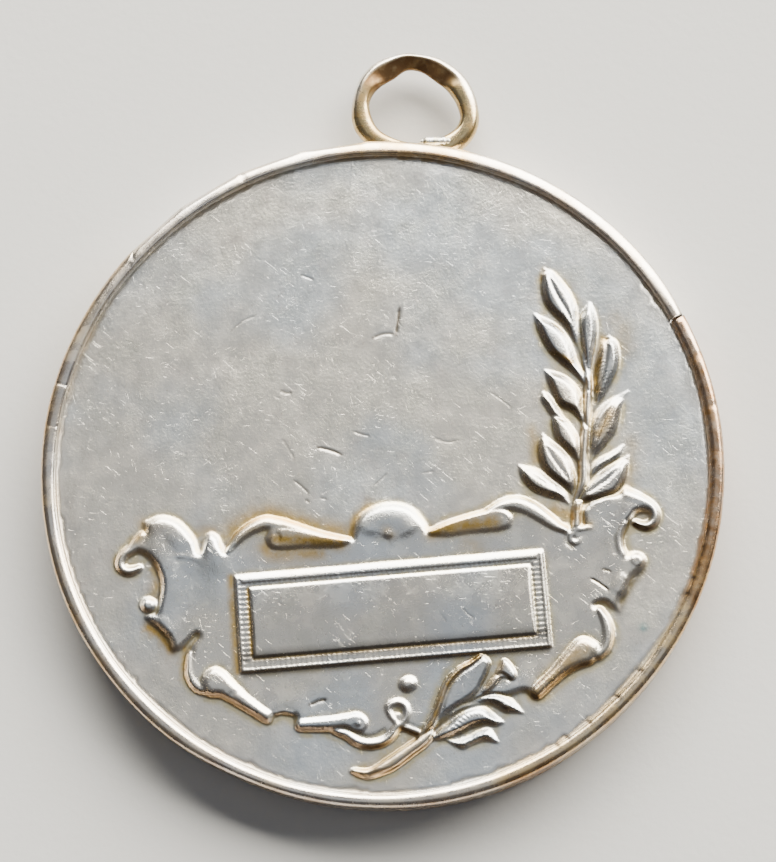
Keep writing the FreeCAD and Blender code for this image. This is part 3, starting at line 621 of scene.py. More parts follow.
def stain_face(r):
    """Amber toning beside the raised work, and painted shade on the walls that run down from the eyes to
    the plate's lower tips.
    """
    marks = [
        # path, half width, strength
        ([(-7.6, -2.9), (-6.6, -2.35), (-5.6, -2.15), (-4.6, -2.55), (-3.4, -2.95), (-2.2, -3.35)],
         0.45, 0.8),
        ([(-7.2, -3.4), (-6.6, -3.0), (-6.0, -2.9)], 0.2, 0.5),
        ([(-5.95, -3.9), (-5.6, -4.25), (-4.4, -4.35), (-3.2, -4.4)], 0.35, 0.8),
        ([(-5.3, -3.55), (-3.8, -3.75), (-2.2, -3.98)], 0.4, 1.0),
        ([(-9.3, -3.0), (-8.9, -2.7), (-8.0, -2.9)], 0.3, 0.5),
        ([(-1.75, -3.6), (-1.4, -2.8), (-0.7, -2.2)], 0.28, 0.8),
        ([(-11.9, -2.1), (-11.8, -2.6), (-12.2, -2.95)], 0.25, 0.8),
        ([(-13.3, -3.9), (-12.8, -3.4)], 0.15, 0.4),
        ([(-11.5, -4.3), (-11.4, -5.0), (-11.5, -5.8)], 0.25, 0.6),
        ([(-11.9, -7.3), (-11.2, -7.9), (-10.9, -8.5)], 0.25, 1.0),
        ([(-10.15, -8.5), (-10.25, -9.2), (-10.3, -9.9)], 0.15, 0.8),
        ([(-7.7, -5.2), (-7.72, -7.5), (-7.68, -9.9)], 0.16, 0.9),
        ([(-6.9, -5.9), (-6.9, -7.5), (-6.9, -9.1)], 0.1, 0.9),
        ([(-6.8, -9.3), (-2.0, -9.35), (6.8, -9.35)], 0.1, 0.6),
        ([(7.6, 0.9), (7.7, 0.3), (7.7, -0.6)], 0.3, 0.6),
        ([(8.4, -3.2), (8.7, -3.4), (9.2, -3.6)], 0.35, 0.8),
        ([(9.45, -3.3), (9.7, -3.9), (9.9, -4.1)], 0.25, 0.8),
        ([(10.95, 2.6), (11.1, 3.6), (11.45, 4.8), (11.6, 5.2)], 0.22, 1.0),
        ([(10.8, 0.4), (11.2, 0.8), (11.6, 1.5)], 0.28, 0.8),
        ([(8.8, 8.6), (8.95, 9.05)], 0.2, 0.6),
        ([(9.0, 4.7), (9.5, 4.4), (9.9, 4.1)], 0.14, 0.9),
        ([(2.3, -3.85), (3.8, -3.65), (5.3, -3.6)], 0.4, 1.0),
        ([(1.2, -13.5), (1.7, -12.7), (2.2, -11.6), (2.9, -10.8), (4.0, -10.1)], 0.16, 1.0),
        ([(-2.2, -15.2), (-1.0, -14.9), (0.3, -14.2), (1.1, -13.6)], 0.3, 0.6),
        ([(6.6, -12.1), (7.8, -11.1), (9.0, -10.2)], 0.45, 0.75),
        ([(4.3, -11.6), (4.8, -11.1), (5.1, -10.6)], 0.2, 0.6),
        ([(0.1, -3.6), (0.3, -3.8)], 0.3, 0.5),
        ([(3.9, -4.6), (4.4, -4.7)], 0.4, 0.4),
        ([(12.4, -0.2), (12.3, -1.5), (11.9, -2.5)], 0.4, 0.35),
        ([(9.4, -2.6), (10.1, 1.5), (9.6, 8.0)], 1.1, 0.16),
        ([(12.2, 6.2), (12.6, 5.4), (12.6, 4.6)], 0.5, 0.4),
    ]
    for path, half_width, strength in marks:
        r.stain(path, half_width, strength)
    # painted shade: the plate's lower outer walls, from each eye down to its tip, face away from the light
    # and are darkened
    for path in ([(12.3, -6.65), (11.75, -7.15), (11.35, -7.75), (10.95, -8.5)],
                 [(-11.95, -6.95), (-11.3, -7.6), (-10.95, -8.3), (-10.7, -8.65)]):
        r.stain(path, 0.2, 0.55, r.grime_and_shade)


def struck_face():
    """The whole face as a relief."""
    r = Relief(SHEET)
    strike_plate(r)
    strike_lobes(r)
    strike_scrolls(r)
    strike_horns(r)
    strike_lower_edge(r)
    r.soften(3)
    strike_plaque(r)
    strike_upper_spray(r)
    strike_lower_spray(r)
    r.soften(1)
    nick_face(r)
    stain_face(r)
    return r


# ---------------------------------------------------------------- meshes

def new_piece(name, vertices, faces, replaced):
    """A smooth-shaded mesh piece that rides on the medal and stands for a CAD node."""
    mesh = bpy.data.meshes.new(name)
    mesh.from_pydata((np.asarray(vertices) * MM).tolist(), [], [tuple(f) for f in faces])
    mesh.validate()
    mesh.polygons.foreach_set("use_smooth", [True] * len(mesh.polygons))
    piece = bpy.data.objects.new(name, mesh)
    bpy.context.scene.collection.objects.link(piece)
    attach(piece, "root")
    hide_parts(replaced)
    return piece


def add_values(piece, fields):
    """Store a number for each point of the mesh, for the materials to read."""
    for name, values in fields.items():
        attribute = piece.data.attributes.new(name, "FLOAT", "POINT")
        attribute.data.foreach_set("value", np.asarray(values, np.float32))


def grown(mask, steps):
    """The mask spread by some grid steps each way."""
    out = mask.copy()
    for _ in range(steps):
        p = np.pad(out, 1)
        out = p[1:-1, 1:-1] | p[:-2, 1:-1] | p[2:, 1:-1] | p[1:-1, :-2] | p[1:-1, 2:]
    return out


def chosen_points(r, limit):
    """Grid points for the mesh: every one where the relief bends, and fewer where it is flat."""
    p = np.pad(r.h, 1, mode="edge")
    bend = np.abs(p[:-2, 1:-1] + p[2:, 1:-1] - 2 * r.h) + np.abs(p[1:-1, :-2] + p[1:-1, 2:] - 2 * r.h)
    row, col = np.indices(r.h.shape)
    keep = (row % 8 == 0) & (col % 8 == 0)
    for step, threshold in ((4, 0.0001), (2, 0.0009), (1, 0.0035)):
        busy = grown(bend > threshold, step)
        keep |= busy & (row % step == 0) & (col % step == 0)
    return keep & (np.hypot(r.u + DIE_OFFSET[0], r.v + DIE_OFFSET[1]) < limit)


def make_front_face(relief):
    """The struck sheet: the relief on top, a plain edge and a flat underside."""
    around = 360
    keep = chosen_points(relief, SHEET - 0.4)
    a = ring_turns(around)
    cos, sin = math.cos(DIE_TURN), math.sin(DIE_TURN)
    u, v = relief.u[keep], relief.v[keep]
    x = u * cos - v * sin + DIE_OFFSET[0]
    y = u * sin + v * cos + DIE_OFFSET[1]
    flat = np.vstack([np.stack([x, y], 1), SHEET * np.stack([np.cos(a), np.sin(a)], 1)])
    found = delaunay_2d_cdt([Vector(p) for p in flat], [], [], 0, 1e-6)
    order = np.array([source[0] for source in found[3]])

    def with_edge(field):
        return np.concatenate([field[keep], np.zeros(around)])[order]

    top = np.column_stack([flat[order], FIELD + with_edge(relief.h)])
    place = np.empty(len(order), int)
    place[order] = np.arange(len(order))
    rim = place[len(order) - around:]
    below = top[rim].copy()
    below[:, 2] = FIELD - SHEET_THICKNESS
    faces = [tuple(f) for f in found[2]]
    base = len(top)
    for i in range(around):
        j = (i + 1) % around
        faces.append((rim[i], base + i, base + j, rim[j]))
    faces.append(tuple(base + i for i in reversed(range(around))))
    piece = new_piece("struck_face", np.vstack([top, below]), faces, "front_face")

    # hollow: how far below its surroundings a point lies; and a painted-shade field, stronger the more
    # steeply a point faces the medal's foot, away from the light
    fall_v, fall_u = np.gradient(relief.h, GRID)
    fields = {
        "tone": relief.tone,
        "grime_and_shade": relief.grime_and_shade,
        "raised": relief.raised,
        "hollow": blurred(relief.h, 60) - relief.h,
        "down_facing_shade": np.clip((0.9 * fall_v + 0.45 * fall_u - 0.12) / 1.4, 0, 1),
        "green": np.exp(-(np.hypot(relief.u - VERDIGRIS[0], relief.v - VERDIGRIS[1]) / 0.2) ** 2),
    }
    extra = np.zeros(around)
    add_values(piece, {name: np.concatenate([with_edge(field), extra]) for name, field in fields.items()})
    return piece


def quads(rows, sides, closed):
    """The faces between rows of points, where each row is a closed section."""
    faces = []
    for i in range(rows if closed else rows - 1):
        j = (i + 1) % rows
        for k in range(sides):
            m = (k + 1) % sides
            faces.append((i * sides + k, j * sides + k, j * sides + m, i * sides + m))
    return faces


def carried_round(radius, height, turns):
    """The points of a section carried round: one row of radii and heights per turn."""
    a = turns[:, None]
    return np.stack([radius * np.cos(a), radius * np.sin(a), height], 2).reshape(-1, 3)


def ring_turns(around):
    """Evenly spaced angles once round, in radians."""
    return np.arange(around) * 2 * math.pi / around


def make_back_face():
    """The back sheet with a plain raised ring."""
    flat = BACK_HIGH.z - SHEET_THICKNESS
    low = BACK_LOW.z
    ring = [(radius, flat - (flat - low) * dome(1 - abs(radius - BACK_RING) / BACK_RING_HALF))
            for radius in np.linspace(BACK_RING - BACK_RING_HALF, BACK_RING + BACK_RING_HALF, 17)]
    profile = np.array([(0.5, flat), (14.6, flat)] + ring +
                       [(15.4, flat), (SHEET, flat + 0.03), (SHEET, BACK_HIGH.z), (0.5, BACK_HIGH.z)])
    around, n = 240, len(profile)
    turns = ring_turns(around)
    rows = np.ones((around, 1))
    vertices = carried_round(rows * profile[:, 0], rows * profile[:, 1], turns)
    # solid in the middle: caps in place of the inner wall
    faces = [f for f in quads(around, n, True) if {k % n for k in f} != {0, n - 1}]
    faces.append(tuple(i * n for i in reversed(range(around))))
    faces.append(tuple(i * n + n - 1 for i in range(around)))
    return new_piece("back_sheet", vertices, faces, "back_face")


def lip_section(squareness):
    """The hoop's section as (radius, height) points, from the outer wall round both lips."""
    foot = OUTER - LIP_WIDTH
    half = []
    for a in np.linspace(0, math.pi / 2, 11):
        half.append((CREST + (OUTER - CREST) * math.cos(a) ** 0.85,
                     TOP - 0.36 + 0.36 * math.sin(a) ** 0.85))
    for a in np.linspace(0, math.pi / 2, 10)[1:]:
        half.append((CREST - (CREST - foot) * math.sin(a) ** squareness,
                     TOP - 0.4 + 0.4 * math.cos(a) ** squareness))
    just_above = FIELD + 0.002
    half += [(foot, FIELD + 0.03), (foot, just_above), (foot + 0.02, just_above), (OUTER - 0.5, just_above)]
    lower = [(radius, TOP - height) for radius, height in reversed(half)]
    wall = [(OUTER, h) for h in np.linspace(0.42, TOP - 0.42, 7)]
    return np.array(half + lower + wall)


def rough_wave(a, seed, lowest, highest):
    """A smooth random wave round the rim, between the lowest and highest number of waves, about +-1."""
    rng = np.random.default_rng(seed)
    counts = np.arange(lowest, highest)[:, None]
    size, phase = rng.normal(size=counts.shape), rng.uniform(0, 2 * math.pi, counts.shape)
    return (size * np.sin(counts * a + phase)).sum(0) / math.sqrt(highest - lowest)


def from_angle(a, centre):
    """The signed angles in degrees from a centre given in degrees."""
    return (np.degrees(a) - centre + 180) % 360 - 180


def span(a, start, end, soft):
    """1 from the start to the end angle in degrees, fading over the soft angle outside them."""
    middle, half = (start + end) / 2, (end - start) / 2
    return smooth(1 - (np.abs(from_angle(a, middle)) - half) / soft)


# small nicks in the upper lip: the angle, the half width in degrees and the depth in mm
RIM_NICKS = [(170.7, 0.25, 0.03), (178.3, 0.25, 0.02), (120.6, 0.6, 0.02), (24.0, 0.8, 0.03),
             (15.0, 0.6, 0.03), (262.0, 0.8, 0.03)]
# the angles of dirt-filled pits along the lip's inner foot, at the lower right
RIM_PITS = (306.8, 309.0, 313.5, 320.0, 326.0, 341.5, 344.5)


def warp_rim(radius, height, turns):
    """The hoop as the hand that crimped it left it: flats, an uneven lip, a scarf mark and nicks."""
    a = turns[:, None]
    upper = np.clip((height - TOP + 0.4) / 0.3, 0, 1)
    lower = np.clip((0.4 - height) / 0.3, 0, 1)
    inward = np.clip((CREST - radius) / 0.3, 0, 1)
    outward = np.clip((radius - CREST) / 0.3, 0, 1)

    def wave(*choice):
        return rough_wave(turns, *choice)[:, None]

    # short hand-made flats at the top left, and a long shallow one at the bottom
    flat = 0.09 * span(a, 252, 272, 16)
    for middle in (103.5, 115.0, 126.5, 138.5):
        flat = flat + 0.1 * np.clip(1 - (from_angle(a, middle) / 6) ** 2, 0, 1)
    radius -= np.maximum(flat + 0.012 + 0.01 * wave(3, 5, 14), 0) * outward
    # along the top the lip is hammered down towards its outer side
    height -= 0.24 * span(a, 45, 148, 25) * upper * np.clip(radius - OUTER + 0.66, 0, 0.45)
    radius += inward * (0.007 * wave(4, 6, 30) - 0.04 * span(a, 75, 142, 12))
    height -= (upper - lower) * (0.02 + 0.008 * wave(7, 10, 40))
    # a slanting scarf where the strip was folded over itself
    slant = from_angle(a, 145) + 2.2 * (radius - CREST) / 0.375
    height -= 0.04 * np.exp(-(slant / 0.5) ** 2) * upper
    for centre, width, depth in RIM_NICKS:
        height -= depth * np.exp(-(from_angle(a, centre) / width) ** 2) * upper
    for centre in RIM_PITS:
        radius += 0.015 * np.exp(-(from_angle(a, centre) / 0.45) ** 2) * inward
    # one end of the strip stands a little proud of the other at the seam
    past = from_angle(a, SEAM_ANGLE)
    sink = np.where(past > 0, 0.07 * np.exp(-np.abs(past) / 4.0), 0)
    radius -= sink * outward
    height -= 0.4 * sink * upper
    height -= np.where(past < 0, 0.05 * smooth(1 + past / 1.2), 0) * upper
    return radius, height


def rim_finish(radius, turns):
    """How brassy, how coppery and how dirty each point of the rim is; the copper also stands for painted
    shade on the inner lip along the top and the outer lip along the bottom, the sides that face away from
    the light.
    """
    a = turns[:, None]
    out = np.clip((radius - (OUTER - 0.45)) / 0.35, 0, 1)
    inn = np.clip(((OUTER - 0.35) - radius) / 0.3, 0, 1)
    from_seam = from_angle(a, SEAM_ANGLE)
    brass = (0.3 + 0.7 * span(a, -62, -14, 8) + 0.5 * out * span(a, 146, 235, 8)
             + 0.7 * span(a, 82, 100, 5) + 0.1 * rough_wave(turns, 21, 6, 40)[:, None])
    # real copper tarnish round the seam and the lower right; plus painted shade on the inner lip along the
    # top and the outer lip along the bottom, which face away from the light
    copper_and_shade = (span(a, -17, 14, 6) + 0.9 * span(a, 18, 31.6, 3) * (from_seam < 0)
              + inn * (0.4 * span(a, 32, 80, 8) + 0.6 * span(a, 84, 104, 6))
              + out * (0.5 * span(a, -60, -14, 6) + 0.55 * span(a, 150, 300, 10))
              + 0.1 * rough_wave(turns, 22, 8, 60)[:, None])
    dirt = np.exp(-(from_seam / 0.3) ** 2)
    for centre in RIM_PITS:
        dirt = dirt + inn * np.exp(-(from_angle(a, centre) / 0.4) ** 2)
    fields = {"brass": brass, "copper_and_shade": copper_and_shade, "dirt": dirt}
    return {name: np.clip(field, 0, 1).ravel() for name, field in fields.items()}


def make_rim():
    """The crimped hoop, open by a hair at its seam. Its inner lip is squarer along the top."""
    start = math.radians(SEAM_ANGLE + SEAM_GAP / 2)
    count = 1700
    turns = np.linspace(start, start + math.radians(360 - SEAM_GAP), count)
    square = span(turns, 48, 172, 30)[:, None]
    rounder, squarer = lip_section(0.9), lip_section(0.5)
    radius, height = (rounder[:, k] + square * (squarer - rounder)[:, k] for k in (0, 1))
    radius, height = warp_rim(radius, height, turns)
    n = len(rounder)
    faces = quads(count, n, False)
    faces.append(tuple(reversed(range(n))))
    faces.append(tuple((count - 1) * n + k for k in range(n)))
    piece = new_piece("crimped_rim", carried_round(radius, height, turns), faces, "rim_hoop")
    add_values(piece, rim_finish(radius, turns))
    return piece


# The loop by its outer outline and by its hole, both counter-clockwise from its right side.
LOOP_CENTRE = (-0.08, 19.1)
LOOP_OUTSIDE = [(3.18, 19.2), (2.92, 20.0), (2.52, 20.7), (1.92, 21.3), (0.95, 21.83), (-0.08, 21.99),
                (-1.08, 21.93), (-2.08, 21.5), (-2.68, 21.0), (-3.14, 20.2), (-3.32, 19.2), (-3.28, 18.2),
                (-2.98, 17.5), (-2.4, 16.95), (-1.5, 16.5), (0.0, 16.3), (1.5, 16.45), (2.45, 16.95),
                (3.0, 17.6), (3.25, 18.4)]
LOOP_HOLE = [(2.2, 19.0), (1.95, 19.55), (1.42, 20.2), (0.82, 20.62), (0.2, 21.02), (-0.28, 21.15),
             (-0.78, 21.08), (-1.3, 20.62), (-1.98, 20.1), (-2.33, 19.6), (-2.43, 19.0), (-2.2, 18.25),
             (-1.68, 17.6), (-0.68, 17.2), (0.32, 17.15), (1.42, 17.55), (2.05, 18.05), (2.27, 18.6)]


def by_angle(points, centre, angles):
    """The distance from a centre to a closed outline, at each of the angles."""
    line = curve(points, closed=True, step=0.03)
    offset = line - centre
    a = np.arctan2(offset[:, 1], offset[:, 0])
    order = np.argsort(a)
    return np.interp(angles, a[order], np.hypot(offset[:, 0], offset[:, 1])[order], period=2 * math.pi)


def make_loop():
    """The oval wire loop: round outside, with a broad facet inside its top where pliers held it."""
    around, sides = 240, 36
    angles = ring_turns(around)
    centre = np.array(LOOP_CENTRE)
    far = by_angle(LOOP_OUTSIDE, centre, angles)
    near = by_angle(LOOP_HOLE, centre, angles)
    vertices, painted_highlight, loop_shade = [], [], []
    for a, outer, inner in zip(angles, far, near):
        middle, half = (outer + inner) / 2, (outer - inner) / 2
        facet = float(span(a, 50, 140, 22))
        shade = float(span(a, 50, 155, 22))
        for k in range(sides):
            b = 2 * math.pi * k / sides
            c, s = math.cos(b), math.sin(b)
            # the round section, flatter on its inside, and the faceted one with its ridge further out
            round_c = math.copysign(abs(c) ** (0.62 if c < 0 else 0.9), c)
            round_s = math.copysign(abs(s) ** 0.9, s)
            sharp_s = round_s
            if round_c < 0.35 and s > 0:
                sharp_s = min(round_s, 0.9 - 0.75 * (0.35 - round_c) / 1.35)
            height = round_s + facet * (sharp_s - round_s)
            reach = middle + half * round_c
            vertices.append((centre[0] + reach * math.cos(a), centre[1] + reach * math.sin(a),
                             LOOP_MIDDLE + WIRE_HALF * height))
            # painted highlight in silver on the outer top, which faces the light; painted brown shade on
            # the inner top facet and the underside, which face away from it
            painted_highlight.append(smooth((round_c - 0.1) / 0.5) * span(a, 20, 170, 30))
            loop_shade.append(shade * smooth((0.5 - round_c) / 0.3) + 0.5 * smooth((-height - 0.2) / 0.4))
    piece = new_piece("wire_loop", vertices, quads(around, sides, True), "suspension_loop")
    add_values(piece, {"painted_highlight": painted_highlight, "loop_shade": np.clip(loop_shade, 0, 1)})
    return piece


def tube(line, radii):
    """Vertices and faces of a closed-ended tube along points, with a radius at each point."""
    sides = 20
    line = np.array(line, float)
    tangent = np.gradient(line, axis=0)
    tangent /= np.linalg.norm(tangent, axis=1)[:, None]
    side = np.stack([-tangent[:, 1], tangent[:, 0], np.zeros(len(line))], 1)
    b = ring_turns(sides)
    up = np.array([0, 0, 1])
    circle = np.cos(b)[None, :, None] * side[:, None] + np.sin(b)[None, :, None] * up
    vertices = (line[:, None] + np.asarray(radii)[:, None, None] * circle).reshape(-1, 3)
    faces = [(f[0], f[3], f[2], f[1]) for f in quads(len(line), sides, False)]
    faces.append(tuple(range(sides)))
    faces.append(tuple((len(line) - 1) * sides + k for k in reversed(range(sides))))
    return vertices, faces


def make_solder(side):
    """The solder at one foot of the loop; at the right a bar of it also lies inside the loop."""
    name = "right" if side > 0 else "left"
    rng = np.random.default_rng(31 + side)
    bumps = rng.uniform(-0.03, 0.03, 40) * (side > 0)
    x = np.linspace(0.5, 3.25, 40)
    bead = np.stack([side * x, np.sqrt((OUTER - 0.1) ** 2 - x * x), np.full(40, LOOP_MIDDLE)], 1)
    radii = 0.06 + (0.34 + bumps) * np.sin(math.pi * np.linspace(0, 1, 40) ** 0.9) ** 0.8
    vertices, faces = tube(bead, radii)
    if side > 0:
        x = np.linspace(0.35, 2.1, 30)
        bar = np.stack([x, 17.12 + 0.12 * x ** 1.6 / 2, np.full(30, LOOP_MIDDLE + 0.28)], 1)
        more, more_faces = tube(bar, 0.08 + 0.2 * dome(1 - np.abs(x - 1.2) / 0.87) + bumps[:30])
        faces = faces + [tuple(k + len(vertices) for k in f) for f in more_faces]
        vertices = np.vstack([vertices, more])
    return new_piece("solder_" + name, vertices, faces, "loop_solder_" + name)


# ---------------------------------------------------------------- materials

class Surface:
    """A node material under construction. Colours and numbers are nodes' outputs or plain values."""

    def __init__(self, name):
        """An empty metal of this name, ready for its colour, roughness and bump."""
        self.material = bpy.data.materials.new(name)
        self.material.use_nodes = True
        self.tree = self.material.node_tree
        self.tree.nodes.clear()
        self.shader = self.add("ShaderNodeBsdfPrincipled")
        output = self.add("ShaderNodeOutputMaterial")
        self.tree.links.new(self.shader.outputs[0], output.inputs[0])
        self.place = self.add("ShaderNodeTexCoord").outputs["Object"]

    def add(self, kind):
        """A new node of this kind."""
        return self.tree.nodes.new(kind)

    def plug(self, value, socket):
        """Link a node's output to a socket, or set a plain value there."""
        if isinstance(value, bpy.types.NodeSocket):
            self.tree.links.new(value, socket)
        else:
            socket.default_value = (*value, 1) if isinstance(value, tuple) and len(value) == 3 else value

    def value(self, name):
        """A number stored on the mesh."""
        node = self.add("ShaderNodeAttribute")
        node.attribute_name = name
        return node.outputs["Fac"]

    def math(self, operation, a, b):
        """Two numbers joined by one of the math node's operations."""
        node = self.add("ShaderNodeMath")
        node.operation = operation
        self.plug(a, node.inputs[0])
        self.plug(b, node.inputs[1])
        return node.outputs[0]

    def times(self, a, b):
        """The product of two numbers."""
        return self.math("MULTIPLY", a, b)

    def ramp(self, value, low, high, start=0.0, end=1.0):
        """Map low..high smoothly to start..end."""
        node = self.add("ShaderNodeMapRange")
        node.interpolation_type = "SMOOTHSTEP"
        self.plug(value, node.inputs["Value"])
        for socket, number in zip(("From Min", "From Max", "To Min", "To Max"), (low, high, start, end)):
            node.inputs[socket].default_value = number
        return node.outputs[0]

    def turned(self, angle, stretch):
        """The place on the medal, turned about Z and stretched."""
        node = self.add("ShaderNodeMapping")
        node.vector_type = "TEXTURE"
        self.tree.links.new(self.place, node.inputs["Vector"])
        node.inputs["Rotation"].default_value = (0, 0, math.radians(angle))
        node.inputs["Scale"].default_value = stretch
        return node.outputs[0]

    def noise(self, size, pattern, detail=3.0, rough=0.6, at=None):
        """Noise with features of about this size in mm, from 0 to 1; each number is another pattern."""
        node = self.add("ShaderNodeTexNoise")
        node.noise_dimensions = "4D"
        node.inputs["W"].default_value = pattern
        self.tree.links.new(self.place if at is None else at, node.inputs["Vector"])
        node.inputs["Scale"].default_value = 1 / (size * MM)
        node.inputs["Detail"].default_value = detail
        node.inputs["Roughness"].default_value = rough
        return node.outputs["Fac"]

    def patches(self, size, pattern, low, high, start=0.0, end=1.0, detail=3.0, rough=0.6):
        """Soft-edged patches of noise: start where it is below low, end where it is above high."""
        return self.ramp(self.noise(size, pattern, detail, rough), low, high, start, end)

    def mix(self, factor, a, b):
        """Colour a where the factor is 0, and colour b where it is 1."""
        node = self.add("ShaderNodeMix")
        node.data_type = "RGBA"
        self.plug(factor, node.inputs["Factor"])
        self.plug(a, node.inputs[6])
        self.plug(b, node.inputs[7])
        return node.outputs[2]

    def scratches(self, angle, length, width, amount, pattern):
        """Fine straight scratches in one direction, as a number from 0 to 1."""
        streak = self.noise(1.0, pattern, 2.0, 0.5, self.turned(angle, (length, width, 1)))
        low = 0.72 - amount
        return self.times(self.ramp(streak, low, low + 0.06),
                          self.patches(1.6, pattern + 3, 0.42, 0.62, 0, 1, 2.0, 0.5))

    def bump(self, height, strength, depth):
        """Bump of this depth in mm."""
        node = self.add("ShaderNodeBump")
        node.inputs["Strength"].default_value = strength
        node.inputs["Distance"].default_value = depth * MM
        self.plug(height, node.inputs["Height"])
        self.tree.links.new(node.outputs[0], self.shader.inputs["Normal"])

    def finish(self, colour, roughness, metallic=1.0):
        """The finished material."""
        self.plug(colour, self.shader.inputs["Base Color"])
        self.plug(roughness, self.shader.inputs["Roughness"])
        self.shader.inputs["Metallic"].default_value = metallic
        return self.material


COOL_SILVER = (0.77, 0.82, 0.86)
WARM_SILVER = (0.90, 0.85, 0.76)
OLIVE = (0.76, 0.75, 0.62)
BLUSH = (0.80, 0.67, 0.62)
STRAW = (0.76, 0.62, 0.28)
AMBER = (0.70, 0.44, 0.11)
UMBER = (0.34, 0.23, 0.14)
SHADE_TAN = (0.42, 0.26, 0.11)
SOOT_AND_SHADE = (0.07, 0.045, 0.03)
VERDIGRIS_BLUE = (0.10, 0.38, 0.40)
COPPER_AND_SHADE = (0.52, 0.27, 0.10)


def aged_silver():
    """Worn, toned and finely scratched silver plate, with painted shade on the walls that face away from
    the light.
    """
    m = Surface("aged_silver")
    colour = m.mix(m.patches(7.0, 0.4, 0.4, 0.6, 0, 1, 2.0, 0.5), COOL_SILVER, WARM_SILVER)
    patch = m.noise(1.5, 2.0, 4.0)
    colour = m.mix(m.ramp(patch, 0.4, 0.75, 0, 0.35), colour, OLIVE)
    colour = m.mix(m.patches(1.1, 13.0, 0.5, 0.75, 0, 0.25, 4.0, 0.65), colour, BLUSH)
    # toning beside the raised work and dirt in the corners, then painted shade, tan to near black, on the
    # walls that face down the medal away from the light, and dark dirt mixed with painted shade
    halo = m.times(m.ramp(m.value("hollow"), 0.006, 0.05), m.patches(0.7, 14.0, 0.35, 0.6, 0.3))
    colour = m.mix(m.times(halo, 0.7), colour, STRAW)
    colour = m.mix(m.times(m.value("tone"), m.patches(0.5, 4.0, 0.3, 0.6, 0.55)), colour, AMBER)
    dirt = m.times(m.ramp(m.value("hollow"), 0.06, 0.13), m.patches(0.35, 6.0, 0.35, 0.6, 0.4))
    colour = m.mix(m.times(dirt, 0.5), colour, UMBER)
    down_facing_shade = m.value("down_facing_shade")
    colour = m.mix(m.ramp(down_facing_shade, 0.0, 0.43, 0, 0.7), colour, SHADE_TAN)
    colour = m.mix(m.ramp(down_facing_shade, 0.3, 0.75, 0, 0.85), colour, SOOT_AND_SHADE)
    colour = m.mix(m.value("grime_and_shade"), colour, SOOT_AND_SHADE)
    colour = m.mix(m.times(m.value("green"), 0.8), colour, VERDIGRIS_BLUE)
    colour = m.mix(m.times(m.patches(0.14, 8.0, 0.66, 0.74, 0, 1, 2.0, 0.5), 0.35), colour, UMBER)
    lines = m.scratches(-35, 1.2, 0.05, 0.06, 1.0)
    for angle, length, width, pattern in ((-70, 0.9, 0.05, 12.0), (35, 0.8, 0.045, 23.0),
                                          (0, 0.6, 0.05, 34.0)):
        lines = m.math("MAXIMUM", lines, m.scratches(angle, length, width, 0.05, pattern))
    grain = m.times(m.noise(0.13, 5.0), m.ramp(patch, 0.35, 0.65, 0.35, 0.65))
    m.bump(m.math("SUBTRACT", grain, m.times(lines, 0.12)), 0.8, 0.034)
    rough = m.patches(0.8, 7.0, 0.3, 0.7, 0.28, 0.34, 4.0)
    return m.finish(colour, m.math("SUBTRACT", rough, m.times(m.value("raised"), 0.04)))


def back_silver():
    """The plain back sheet: the same plate, stained and scratched where it was set down."""
    m = Surface("back_silver")
    cloud = m.patches(4.0, 15.0, 0.36, 0.64, 0, 1, 3.0, 0.55)
    colour = m.mix(cloud, (0.68, 0.71, 0.74), (0.77, 0.72, 0.67))
    colour = m.mix(m.patches(2.2, 16.0, 0.56, 0.76, 0, 0.6, 4.0), colour, AMBER)
    lines = m.math("MAXIMUM", m.scratches(40, 1.6, 0.05, 0.12, 41.0),
                   m.scratches(-25, 1.2, 0.05, 0.1, 52.0))
    m.bump(m.math("SUBTRACT", m.noise(0.12, 17.0), lines), 0.5, 0.01)
    return m.finish(colour, m.patches(0.9, 18.0, 0.3, 0.7, 0.28, 0.44, 4.0))


def worn_rim():
    """Silver plate on brass, worn through, with copper-brown tarnish and painted copper-brown shade on the
    lip sides that face away from the light.
    """
    m = Surface("worn_rim")
    wear = m.noise(0.7, 3.0, 3.0, 0.55)
    brass = m.times(m.value("brass"), m.ramp(wear, 0.3, 0.65, 0.5, 1.0))
    colour = m.mix(brass, (0.86, 0.83, 0.80), (0.86, 0.66, 0.36))
    tarnish_and_shade = m.times(m.value("copper_and_shade"), m.patches(0.5, 9.0, 0.3, 0.7, 0.5, 1.0, 5.0, 0.7))
    colour = m.mix(tarnish_and_shade, colour, COPPER_AND_SHADE)
    colour = m.mix(m.value("dirt"), colour, SOOT_AND_SHADE)
    pits = m.patches(0.16, 10.0, 0.68, 0.74, 0, 1, 2.0, 0.5)
    colour = m.mix(m.times(pits, 0.6), colour, SOOT_AND_SHADE)
    m.bump(m.noise(0.16, 11.0), 0.5, 0.015)
    return m.finish(colour, m.ramp(wear, 0.3, 0.7, 0.2, 0.32))


def loop_brass():
    """The loop's wire: golden brass, with a painted silver highlight on its outer top and painted brown
    shade inside its top and underneath.
    """
    m = Surface("loop_brass")
    cloud = m.noise(0.9, 19.0, 4.0)
    colour = m.mix(m.ramp(cloud, 0.38, 0.62), (0.78, 0.62, 0.34), (0.52, 0.36, 0.16))
    painted_highlight = m.times(m.value("painted_highlight"), m.ramp(cloud, 0.3, 0.5, 1.0, 0.6))
    colour = m.mix(painted_highlight, colour, (0.88, 0.87, 0.85))
    loop_shade = m.value("loop_shade")
    loop_shading = m.times(loop_shade, m.patches(0.5, 20.0, 0.3, 0.55, 0.7, 1.0, 4.0))
    colour = m.mix(loop_shading, colour, (0.20, 0.115, 0.055))
    m.bump(m.noise(0.15, 21.0), 0.5, 0.015)
    return m.finish(colour, m.math("ADD", m.ramp(cloud, 0.3, 0.7, 0.2, 0.32), m.times(loop_shade, 0.2)))


